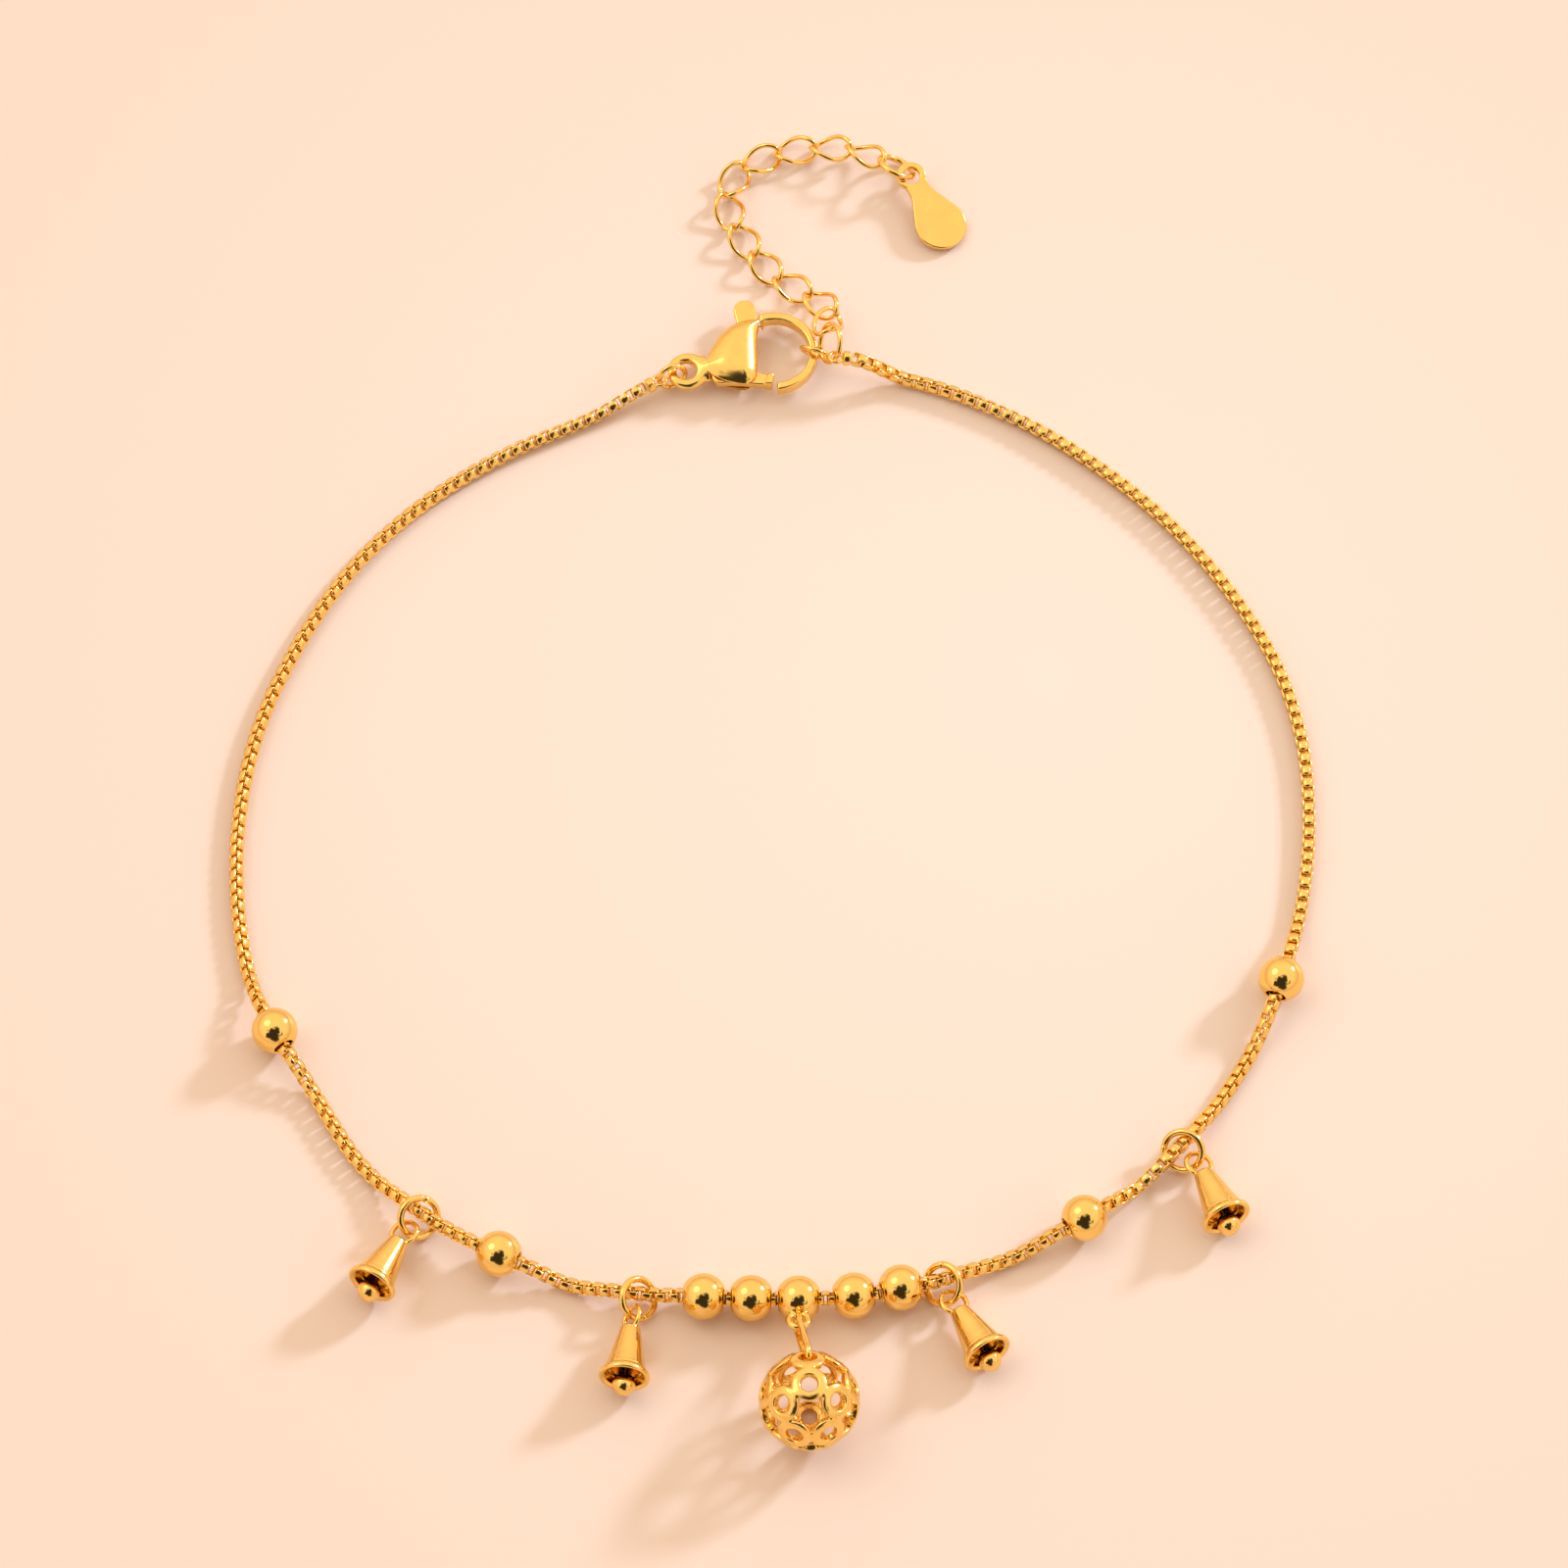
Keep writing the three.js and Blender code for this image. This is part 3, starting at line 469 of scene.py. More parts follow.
@dataclass(frozen=True)
class GoldFinish:
    """A polished gold colour finish with the faint unevenness of its making."""

    name: str
    colour: tuple[float, float, float] = (1.0, 0.665, 0.185)
    roughness: float = 0.13
    wave_size: float = 900.0
    wave_depth: float = 0.12
    grain_size: float = 6000.0
    dull: float = 0.93
    tint_span: tuple[float, float] = (0.3, 0.7)
    rough_span: tuple[float, float] = (0.7, 1.3)
    wave_height: float = 0.02 * MM

    def make(self) -> bpy.types.Material:
        """Builds the node material.

        Returns:
            The material.
        """
        material, tree, shader = new_material(self.name)
        shader.inputs["Metallic"].default_value = 1.0
        place = add_node(tree, "ShaderNodeTexCoord").outputs["Object"]
        size = {"Scale": self.wave_size, "Detail": 2.0}
        waves = add_node(tree, "ShaderNodeTexNoise", size, {"Vector": place}).outputs["Fac"]
        size = {"Scale": self.grain_size}
        grain = add_node(tree, "ShaderNodeTexNoise", size, {"Vector": place}).outputs["Fac"]
        tint = add_node(tree, "ShaderNodeValToRGB", links={"Fac": waves})
        colours = ([c * self.dull for c in self.colour], self.colour)
        for stop, position, colour in zip(tint.color_ramp.elements, self.tint_span, colours):
            stop.position = position
            stop.color = (*colour, 1)
        least, most = (self.roughness * share for share in self.rough_span)
        rough = add_node(tree, "ShaderNodeMapRange", {"To Min": least, "To Max": most}, {"Value": grain})
        relief = {"Strength": self.wave_depth, "Distance": self.wave_height}
        bump = add_node(tree, "ShaderNodeBump", relief, {"Height": waves})
        feed(tree, shader, {
            "Base Color": tint.outputs["Color"], "Roughness": rough.outputs["Result"],
            "Normal": bump.outputs["Normal"],
        })
        return material


class Finish(Enum):
    """The anklet's finishes."""

    POLISHED = GoldFinish("polished gold", roughness=0.1, wave_depth=0.06)
    CAST = GoldFinish("cast gold", roughness=0.16, wave_size=1500.0, wave_depth=0.3)
    STRIP = GoldFinish("rolled strip gold", roughness=0.14, wave_depth=0.05)
    WIRE = GoldFinish("drawn wire gold", roughness=0.11, wave_size=2000.0, wave_depth=0.1)

    def dress(self, piece: bpy.types.Object) -> None:
        """Gives a piece this finish, made once."""
        material = bpy.data.materials.get(self.value.name) or self.value.make()
        piece.data.materials.clear()
        piece.data.materials.append(material)


class ChainLine:
    """The box chain's centre line: its plan, and its height at each length along it."""

    def __init__(self, route: Array, start: Array, end: Array) -> None:
        """Moves the route's ends to the clasp's eyes and measures it.

        Args:
            route: plan points.
            start: where the chain leaves the tail's eye.
            end: where it meets the hook's eye.
        """
        last = len(route) - 1
        order = np.arange(len(route))
        near_start = np.maximum(0, 1 - order * 4 / last)[:, None]
        near_end = np.maximum(0, 1 - (last - order) * 4 / last)[:, None]
        points = route + near_start * (start[:2] - route[0]) + near_end * (end[:2] - route[-1])
        points = np.vstack([2 * points[0] - points[1], points, 2 * points[-1] - points[-2]])
        span = np.sqrt(np.linalg.norm(np.diff(points, axis=0), axis=1))
        fine = []
        for i in range(last):
            p0, p1, p2, p3 = points[i:i + 4]
            d0, d1, d2 = span[i:i + 3]
            t1 = ((p1 - p0) / d0 - (p2 - p0) / (d0 + d1) + (p2 - p1) / d1) * d1
            t2 = ((p2 - p1) / d1 - (p3 - p1) / (d1 + d2) + (p3 - p2) / d2) * d1
            t = np.linspace(0, 1, 60, endpoint=False)[:, None]
            fine.append(
                p1 + t1 * t + (-3 * p1 + 3 * p2 - 2 * t1 - t2) * t ** 2
                + (2 * p1 - 2 * p2 + t1 + t2) * t ** 3
            )
        self.plan = np.vstack(fine + [points[-2][None]])
        self.reach = np.concatenate([[0], np.cumsum(np.linalg.norm(np.diff(self.plan, axis=0), axis=1))])
        self.length = self.reach[-1]
        self.held: list[tuple[float, float, float]] = []

    def hold(self, start: float, end: float, height: float) -> None:
        """Keeps the chain at one height over a stretch."""
        self.held = sorted(self.held + [(start, end, height)])

    def height(self, s: float) -> float:
        """The chain's height at a length along it.

        Args:
            s: the length.

        Returns:
            The height of its centre over the floor.
        """
        lying, settle = BoxChain.width / 2 + FLOOR_GAP, BoxChain.width * 4
        for start, end, height in self.held:
            if start <= s <= end:
                return height
        before = [h for h in self.held if h[1] < s][-1:]
        after = [h for h in self.held if h[0] > s][:1]
        if before and after and after[0][0] - before[0][1] < settle:
            share = (s - before[0][1]) / (after[0][0] - before[0][1])
            return before[0][2] + (after[0][2] - before[0][2]) * eased(share)
        heights = [lying]
        for away, hold in [(s - h[1], h) for h in before] + [(h[0] - s, h) for h in after]:
            share = max(0.0, 1 - away / settle)
            heights.append(lying + (hold[2] - lying) * eased(share))
        return max(heights)

    def at(self, s: float) -> Array:
        """A point of the centre line."""
        s = min(max(s, 0.0), self.length)
        flat = [np.interp(s, self.reach, column) for column in self.plan.T]
        return np.array([*flat, self.height(s)])

    def chord(self, s: float, half: float) -> tuple[Array, Array]:
        """The middle and the direction of a short stretch."""
        start, end = self.at(s - half), self.at(s + half)
        return (start + end) / 2, unit(end - start)


FLOOR_GAP = 0.02 * MM
PLAY = 0.12 * MM


@dataclass
class RoundWireRing:
    """A jump ring of round wire, with the fine line where its ends meet."""

    node: str
    seam: float = 1.0
    seam_places: int = 7
    pinch: float = 0.86
    pull: float = 0.9
    steps: int = 96
    sides: int = 20

    def build(self) -> None:
        """Fits the ring to its solid and makes it smooth."""
        points = node_points(self.node)
        middle, axes = principal(points)
        own = (points - middle) @ axes.T
        away = np.hypot(own[:, 0], own[:, 1])
        mean, wire = (away.max() + away.min()) / 2, away.max() - away.min()
        turn = full_turn(self.steps)
        side = np.cos(turn)[:, None] * axes[0] + np.sin(turn)[:, None] * axes[1]
        section = round_section(wire, self.sides)
        verts, faces = sweep(middle + side * mean, side, np.tile(axes[2], (self.steps, 1)), section)
        verts = self.nick(verts, middle, side, mean)
        Finish.WIRE.dress(mesh_piece(self.node + "_wire", verts, faces, self.node))

    def nick(self, verts: Array, middle: Array, side: Array, mean: float) -> Array:
        """Draws one section in a little, where the wire's two ends meet."""
        rings = verts.reshape(self.steps, self.sides, 3).copy()
        spot = int(self.seam * self.steps / self.seam_places) % self.steps
        centre = middle + side[spot] * mean
        rings[spot] = centre + (rings[spot] - centre) * self.pinch
        for step in (-1, 1):
            near = (spot + step) % self.steps
            rings[near] += (centre - (middle + side[near] * mean)) * self.pull
        return rings.reshape(-1, 3)


@dataclass
class CurbLink:
    """One twisted oval link of the extension."""

    node: str
    length: float = 3.1 * MM
    width: float = 2.15 * MM
    wire: float = 0.32 * MM
    twist: float = math.radians(45)
    steps: int = 64
    sides: int = 14

    def build(self) -> None:
        """Makes the link on its solid's own directions."""
        middle, axes = principal(node_points(self.node))
        pose = Pose.on(middle, axes[0], axes[1])
        turn = full_turn(self.steps)
        twist = self.twist * np.cos(turn)
        lateral = (self.width - self.wire) / 2 * np.sin(turn)
        centres = np.stack([
            (self.length - self.wire) / 2 * np.cos(turn), lateral * np.cos(twist), lateral * np.sin(twist),
        ], axis=1)
        face = np.stack([np.zeros_like(turn), -np.sin(twist), np.cos(twist)], axis=1)
        tangent = tangents(centres)
        side = units(np.cross(tangent, face))
        over = units(np.cross(side, tangent))
        verts, faces = sweep(centres, side, over, round_section(self.wire, self.sides))
        Finish.WIRE.dress(mesh_piece(self.node + "_wire", pose.out(verts), faces, self.node))


@dataclass
class OvalLink:
    """The straight-sided oval ring that carries the openwork ball."""

    node: str = "ball_ring"
    width: float = 1.78 * MM
    wire: float = 0.42 * MM
    steps: int = 96
    sides: int = 20

    def build(self) -> None:
        """Makes the ring on its solid's own directions."""
        points = node_points(self.node)
        middle, axes = principal(points)
        length = np.ptp((points - middle) @ axes[0])
        turn = full_turn(self.steps)
        bend, half = (self.width - self.wire) / 2, (length - self.width) / 2
        centres = np.stack([
            half * np.clip(np.cos(turn) * 3, -1, 1) + bend * np.cos(turn), bend * np.sin(turn),
            np.zeros_like(turn),
        ], axis=1)
        tangent = tangents(centres)
        side = units(np.cross(tangent, UP))
        section = round_section(self.wire, self.sides)
        verts, faces = sweep(centres, side, np.tile(UP, (self.steps, 1)), section)
        pose = Pose.on(middle, axes[0], axes[1])
        Finish.WIRE.dress(mesh_piece(self.node + "_wire", pose.out(verts), faces, self.node))


@dataclass
class Bead:
    """A drilled round bead with eased edges to its bore."""

    node: str
    centre: Array
    way: Array
    diameter: float = 3.0 * MM
    bore: float = 1.32 * MM
    ease: float = 0.08 * MM

    def profile(self) -> Array:
        """The closed section from one end of the bore to the other."""
        radius, bore = self.diameter / 2, self.bore / 2
        edge = math.asin((bore + self.ease) / radius)
        turn = np.linspace(edge, math.pi - edge, 40)
        outer = np.stack([radius * np.sin(turn), -radius * np.cos(turn)], axis=1)
        end = radius * math.cos(edge)
        lip = [(bore, end - self.ease), (bore + self.ease * 0.3, end - self.ease * 0.3)]
        inner = [(bore, end * share) for share in (0.6, 0.0, -0.6)]
        return np.vstack([outer, [lip[1], lip[0]], inner, [(r, -l) for r, l in lip]])

    def build(self) -> None:
        """Turns the bead and puts it on the chain."""
        verts, faces = lathe(self.profile(), 72)
        pose = Pose.of(self.centre, right_of(self.way), self.way)
        Finish.POLISHED.dress(mesh_piece(self.node + "_ball", pose.out(verts), faces, self.node))


@dataclass
class HangerBead(Bead):
    """The bead with a soldered eye that carries the openwork ball."""

    eye_mean: float = 0.62 * MM
    eye_wire: float = 0.44 * MM
    rise: float = math.radians(25)

    def build(self) -> None:
        """Joins ball and eye with a solder fillet."""
        outward = mix(right_of(self.way), UP, self.rise)
        pose = Pose.of(self.centre, outward, self.way)
        away = self.diameter / 2 + self.eye_mean - self.eye_wire / 4

        def field(p: Array) -> Array:
            """Distance to the bead and its eye."""
            ball = np.linalg.norm(p, axis=1) - self.diameter / 2
            ball = smax(ball, self.bore / 2 - np.hypot(p[:, 0], p[:, 2]), self.ease)
            return smin(ball, torus_field(p - [away, 0, 0], self.eye_mean, self.eye_wire), 0.12 * MM)

        reach = self.diameter / 2
        high = np.array([away + self.eye_mean + self.eye_wire, reach, reach])
        verts, faces = skin(field, np.full(3, -reach), high, 0.06 * MM)
        Finish.POLISHED.dress(mesh_piece(self.node + "_ball", pose.out(verts), faces, self.node))


@dataclass
class Bell:
    """A cast bell charm with its loop, and the clapper inside."""

    number: int
    crown: float = 1.3 * MM
    mouth: float = 3.3 * MM
    length: float = 3.85 * MM
    wall: float = 0.3 * MM
    roof: float = 0.5 * MM
    loop: float = 0.84 * MM
    loop_wire: float = 0.34 * MM
    clapper: float = 1.5 * MM
    stem: float = 0.36 * MM
    drop: float = 0.45 * MM
    out: float = 0.3 * MM
    sink: float = 1.3
    tip: float = 0.995
    tip_radius: float = 1e-6

    @property
    def loop_away(self) -> float:
        """How far the loop's centre lies from the crown."""
        return self.loop - (self.roof - self.loop_wire) * self.sink

    def outline(self) -> list[tuple[float, float]]:
        """The wall's section, as radius and length from the crown."""
        crown, mouth, long = self.crown / 2, self.mouth / 2, self.length
        return [
            (-crown * 0.4, 0), (crown * 0.72, 0), (crown, long * 0.04), (mouth * 0.56, long * 0.36),
            (mouth * 0.68, long * 0.6), (mouth * 0.78, long * 0.78), (mouth * 0.86, long * 0.87),
            (mouth * 0.98, long * 0.91), (mouth, long * 0.95), (mouth * 0.98, long * 0.99),
            (mouth * 0.91, long), (mouth * 0.78, long * 0.97), (mouth * 0.78 - self.wall, long * 0.78),
            (mouth * 0.56 - self.wall, long * 0.36), (crown * 0.5, self.roof + self.wall),
            (-crown * 0.4, self.roof),
        ]

    def build(self, crown_at: Array, sideways: Array, axis: Array, roll: float, down: Array) -> None:
        """Makes the bell and its clapper.

        Args:
            crown_at: the middle of the crown.
            sideways: a level direction across the axis.
            axis: from crown to mouth.
            roll: the loop's turn about the axis.
            down: the downward direction across the axis.
        """
        pose = Pose.of(crown_at, sideways, axis)
        c, s = math.cos(roll), math.sin(roll)
        turned = np.array([[c, 0, -s], [0, 1, 0], [s, 0, c]])
        ease = 0.03 * MM

        def field(p: Array) -> Array:
            """Distance to the bell with its loop."""
            wall = polygon(self.outline(), np.hypot(p[:, 0], p[:, 2]), p[:, 1]) - ease
            rim = self.length * 0.84
            groove = 0.035 * MM * np.exp(-(((p[:, 1] - rim) / (0.06 * MM)) ** 2))
            ring = torus_field((p + [0, self.loop_away, 0]) @ turned.T, self.loop, self.loop_wire)
            return smin(wall + ease + groove, ring, 0.1 * MM)

        reach = self.mouth / 2
        low = np.array([-reach, -self.loop_away - self.loop - self.loop_wire, -reach])
        verts, faces = skin(field, low, np.array([reach, self.length, reach]), 0.065 * MM)
        name = f"bell_{self.number}"
        Finish.CAST.dress(mesh_piece(name + "_cup", pose.out(verts), faces, name))

        top = crown_at + axis * (self.roof + 0.3 * MM)
        ball_at = crown_at + axis * (self.length + self.out) + down * self.drop
        reach_ball = np.linalg.norm(ball_at - top)
        ball, stem = self.clapper / 2, self.stem / 2
        turn = np.linspace(math.asin(stem / ball), math.pi * self.tip, 28)
        profile = np.vstack([
            [(self.tip_radius, 0), (stem * 0.8, 0), (stem, 0.1 * MM)],
            np.stack([ball * np.sin(turn), reach_ball - ball * np.cos(turn)], axis=1),
        ])
        verts, faces = lathe(profile, 40)
        pose = Pose.of(top, sideways, ball_at - top)
        name = f"clapper_{self.number}"
        Finish.POLISHED.dress(mesh_piece(name + "_ball", pose.out(verts), faces, name))


@dataclass
class OpenworkBall:
    """The hollow ball of twenty fused rings with star-shaped gaps between them."""

    node: str = "filigree_ball"
    diameter: float = 6.45 * MM
    wall: float = 0.46 * MM
    hole: float = math.radians(10.7)
    band: float = math.radians(21.3)
    yaw: float = 0.05

    def corners(self) -> Array:
        """A dodecahedron's corners as directions, one up and its neighbour towards +Y."""
        golden = (1 + math.sqrt(5)) / 2
        rows = [(a, b, c) for a in (1, -1) for b in (1, -1) for c in (1, -1)]
        for a in (1, -1):
            for b in (1, -1):
                small, large = a / golden, b * golden
                rows += [(0, small, large), (small, large, 0), (a * golden, 0, b / golden)]
        rows = np.array(rows) / math.sqrt(3)
        top = rows[0]
        near = rows[np.argsort(-(rows @ top))[1]]
        back = unit(near - top * (near @ top))
        frame_rows = np.array([np.cross(back, top), back, top])
        return rows @ frame_rows.T

    def build(self) -> None:
        """Makes the ball's one skin."""
        low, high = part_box(self.node)
        centre = (np.array(low) + np.array(high)) / 2
        centre[2] = self.centre_height()
        corners = self.corners()
        middle = (self.hole + self.band) / 2
        shell = self.diameter / 2 - self.wall / 2
        half_band, half_wall = (self.band - self.hole) / 2 * shell * 1.04, self.wall / 2 * 1.02

        def field(p: Array) -> Array:
            """Distance to the fused rings."""
            away = np.linalg.norm(p, axis=1)
            cosine = (p / np.maximum(away, 1e-9)[:, None]) @ corners.T
            nearest = -np.sort(-cosine, axis=1)[:, :3]
            across = (np.arccos(np.clip(nearest, -1, 1)) - middle) * shell
            through = (away - shell)[:, None]
            flat = np.abs(across) - half_band
            low = np.abs(through + 0.04 * MM * (across / half_band) ** 2) - half_wall
            rings = rounded(flat, low, 0.1 * MM)
            return smin(smin(rings[:, 0], rings[:, 1], 0.2 * MM), rings[:, 2], 0.2 * MM)

        reach = np.full(3, self.diameter / 2)
        verts, faces = skin(field, -reach, reach, 0.07 * MM)
        pose = Pose.of(centre, np.array([1, self.yaw, 0]), np.array([-self.yaw, 1, 0]))
        Finish.CAST.dress(mesh_piece(self.node + "_openwork", pose.out(verts), faces, self.node))

    def centre_height(self) -> float:
        """The height that keeps the ball's lowest rings on the floor."""
        low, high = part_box(self.node)
        return low[2] + self.diameter / 2 * math.cos((self.hole + self.band) / 2)


# Places on the clasp, as shares of its hook's distance and of its radius
PIVOT = (0.36, -0.3)
THUMB = (0.79, 1.22)
SLOT_END = 0.93
NOSE = ((0.62, -0.66), (0.885, -0.83), (0.93, -0.6), (0.76, -0.42))
NOSE_HEAD = ((0.87, -0.535), (0.93, -0.6), (0.885, -0.83), (0.8, -0.773))
BODY_EDGE = (
    (0.1, 0.0), (0.12, 0.12), (0.19, 0.24), (0.29, 0.43), (0.41, 0.67), (0.54, 0.86), (0.67, 0.95),
    (0.8, 0.985), (0.95, 0.975), (1.06, 0.95), (1.07, 0.86), (1.0, 0.79), (0.94, 0.65), (0.88, 0.36),
    (0.8345, -0.027), (0.8, -0.36), (0.77, -0.54), (0.7, -0.69), (0.6, -0.75), (0.49, -0.69),
    (0.38, -0.58), (0.27, -0.44), (0.18, -0.29), (0.12, -0.12), (0.1, 0.0),
)
# The dome's height along the body, as shares of its length and of its greatest height
DOME = curve_through((
    (0.08, 0.4), (0.16, 0.52), (0.25, 0.7), (0.38, 0.9), (0.55, 1.0), (0.68, 1.0), (0.8, 0.92), (0.92, 0.68),
    (1.04, 0.45), (1.16, 0.4),
))
HOOK_ARC = (math.radians(-99), math.radians(98))


@dataclass
class LobsterClasp:
    """The clasp: a domed body with its hook and tail ring, and the sprung lever in its slot."""

    pose: Pose
    hook_away: float = 6.0 * MM
    hook_outer: float = 2.9 * MM
    hook_inner: float = 2.33 * MM
    hook_tall: float = 0.96 * MM
    tail_outer: float = 1.3 * MM
    tail_hole: float = 0.64 * MM
    tail_tall: float = 0.64 * MM
    pod: float = 1.05 * MM
    slot: float = 0.84 * MM
    pin: float = 0.66 * MM
    thick: float = 0.62 * MM
    bore: float = 0.8 * MM
    hub: float = 0.65 * MM
    tab: float = 0.72 * MM
    nose: float = 1.1 * MM
    dome: float = 1.75 * MM

    def spot(self, along: float, across: float) -> tuple[float, float]:
        """A place as shares of the hook's distance and of its radius."""
        return along * self.hook_away, across * self.hook_outer

    @cached_property
    def body_plan(self) -> Array:
        """The body's outline seen from above."""
        return curve_through(self.spots(BODY_EDGE), 4)[:-1]

    def spots(self, shares: Sequence[tuple[float, float]]) -> list[tuple[float, float]]:
        """Several places given as shares."""
        return [self.spot(*pair) for pair in shares]

    def pod_field(self, p: Array) -> Array:
        """Distance to the domed body before its slot is cut.

        Args:
            p: places in the clasp's own frame.

        Returns:
            The field.
        """
        plan = polygon(self.body_plan, p[:, 0], p[:, 1])
        along, tall = DOME.T
        height = np.interp(p[:, 0] / self.hook_away, along, tall) * self.pod
        lifted = np.hypot(p[:, 2] * self.dome / height, np.maximum(self.dome + plan, 0)) - self.dome
        return lifted * height / self.dome

    def body_field(self, p: Array) -> Array:
        """Distance to the body with hook and tail.

        Args:
            p: places in the clasp's own frame.

        Returns:
            The field.
        """
        x, y, z = p.T
        body = self.pod_field(p)
        pivot = self.spot(*PIVOT)
        slot_from, slot_to = pivot[0] - self.hub - PLAY, SLOT_END * self.hook_away
        slot = np.maximum(np.maximum(slot_from - x, x - slot_to), np.abs(z) - self.slot / 2)
        body = smax(body, -slot, 0.05 * MM)
        from_pin = np.hypot(x - pivot[0], y - pivot[1])
        middle, half = (HOOK_ARC[1] + HOOK_ARC[0]) / 2, (HOOK_ARC[1] - HOOK_ARC[0]) / 2
        c, s = math.cos(middle), math.sin(middle)
        hx = (x - self.hook_away) * c + y * s
        hy = np.abs(-(x - self.hook_away) * s + y * c)
        mean, band = (self.hook_outer + self.hook_inner) / 2, (self.hook_outer - self.hook_inner) / 2
        arc = np.abs(np.hypot(hx, hy) - mean) - band
        arc = np.maximum(arc, hy * math.cos(half) - hx * math.sin(half))
        hook = thick(arc, z, self.hook_tall / 2, 0.16 * MM)
        body = smin(body, hook, 0.22 * MM)
        tail_mean, tail_band = (self.tail_outer + self.tail_hole) / 2, (self.tail_outer - self.tail_hole) / 2
        tail = thick(np.abs(np.hypot(x, y) - tail_mean) - tail_band, z, self.tail_tall / 2, 0.28 * MM)
        body = smin(body, tail, 0.42 * MM)
        body = smax(body, self.tail_hole - np.hypot(x, y), 0.12 * MM)
        pin = np.maximum(from_pin - self.pin / 2, np.abs(z) - self.slot / 2 - PLAY / 4)
        return np.minimum(body, pin)

    def lever_outline(self) -> list[tuple[float, float]]:
        """The lever seen from above: thumb tab, arm and nose."""
        thumb, pivot = self.spot(*THUMB), self.spot(*PIVOT)
        points = [
            (thumb[0] + self.tab * math.cos(a), thumb[1] + self.tab * math.sin(a))
            for a in np.linspace(0, math.pi, 18)
        ]
        points.append((thumb[0] - self.tab, 0.8 * self.hook_outer))
        points += [
            (pivot[0] + self.hub * math.cos(a), pivot[1] + self.hub * math.sin(a))
            for a in np.radians(np.linspace(150, 280, 14))
        ]
        points += self.spots([*NOSE, (0.75, 0.3)])
        return points + [(thumb[0] + self.tab, 0.9 * self.hook_outer)]

    def lever_field(self, p: Array) -> Array:
        """Distance to the lever.

        Args:
            p: places in the clasp's own frame.

        Returns:
            The field.
        """
        x, y, z = p.T
        arm = thick(polygon(self.lever_outline(), x, y), z, self.thick / 2, 0.12 * MM)
        head = self.spots(NOSE_HEAD)
        head_field = thick(polygon(head, x, y), z, self.nose / 2, 0.1 * MM)
        pivot = self.spot(*PIVOT)
        hole = self.bore / 2 - np.hypot(x - pivot[0], y - pivot[1])
        return np.maximum(smin(arm, head_field, 0.08 * MM), hole)

    def build(self) -> None:
        """Makes the body and the lever."""
        high = np.array([self.hook_away + self.hook_outer, self.hook_outer * 1.6, self.pod])
        low = np.array([-self.tail_outer, -self.hook_outer, -self.pod])
        verts, faces = skin(self.body_field, low, high, 0.06 * MM)
        Finish.CAST.dress(mesh_piece("clasp_body_cast", self.pose.out(verts), faces, "clasp_body"))
        verts, faces = skin(self.lever_field, low, high, 0.06 * MM)
        Finish.POLISHED.dress(
            mesh_piece("clasp_lever_sprung", self.pose.out(verts), faces, "clasp_lever", LEVER_BODY))


@dataclass
class DropTag:
    """The flat drop-shaped tag at the extension's end."""

    head: float = 1.0 * MM
    hole: float = 0.58 * MM
    neck: float = 0.8 * MM
    round_end: float = 1.75 * MM
    reach: float = 3.95 * MM
    plate: float = 0.4 * MM
    shoulder: float = math.radians(50)
    flare: float = math.radians(115)

    def outline(self) -> Array:
        """The tag seen from above: round head, waist and larger round end."""
        waist = (self.head * 1.4, self.neck)
        spread = (self.reach * 0.58, (self.neck + self.round_end) * 0.465)
        foot = (self.reach + self.round_end * math.cos(self.flare), self.round_end * math.sin(self.flare))
        top = (self.head * math.cos(self.shoulder), self.head * math.sin(self.shoulder))
        side = curve_through((top, waist, spread, foot), 6)
        head = np.linspace(math.pi, self.shoulder, 14, endpoint=False)
        end = np.linspace(self.flare, 0, 16)[1:]
        half = np.vstack([
            np.stack([np.cos(head), np.sin(head)], axis=1) * self.head, side,
            np.stack([self.reach + self.round_end * np.cos(end), self.round_end * np.sin(end)], axis=1),
        ])
        return np.vstack([half, half[-2:0:-1] * [1, -1]])

    def build(self) -> None:
        """Makes the tag on its solid's own directions, its hole at the end ring."""
        points = node_points("tag")
        middle, axes = principal(points)
        low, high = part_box("end_ring")
        ring = (np.array(low) + np.array(high)) / 2
        along = axes[0] if (ring - middle) @ axes[0] < 0 else -axes[0]
        hole_at = middle + along * (((points - middle) @ along).min() + self.head)
        span = (points - middle) @ axes[1]
        hole_at = hole_at + axes[1] * (span.max() + span.min()) / 2
        depth = (points - middle) @ axes[2]
        hole_at = hole_at + axes[2] * (depth.max() + depth.min()) / 2
        pose = Pose.on(hole_at, along, axes[1])
        outline = self.outline()

        def field(p: Array) -> Array:
            """Distance to the pierced plate."""
            flat = thick(polygon(outline, p[:, 0], p[:, 1]), p[:, 2], self.plate / 2, 0.09 * MM)
            return smax(flat, self.hole - np.hypot(p[:, 0], p[:, 1]), 0.06 * MM)

        high = np.array([self.reach + self.round_end, self.round_end, self.plate / 2])
        verts, faces = skin(field, np.array([-self.head, -self.round_end, -self.plate / 2]), high, 0.055 * MM)
        Finish.POLISHED.dress(mesh_piece("tag_plate", pose.out(verts), faces, "tag"))


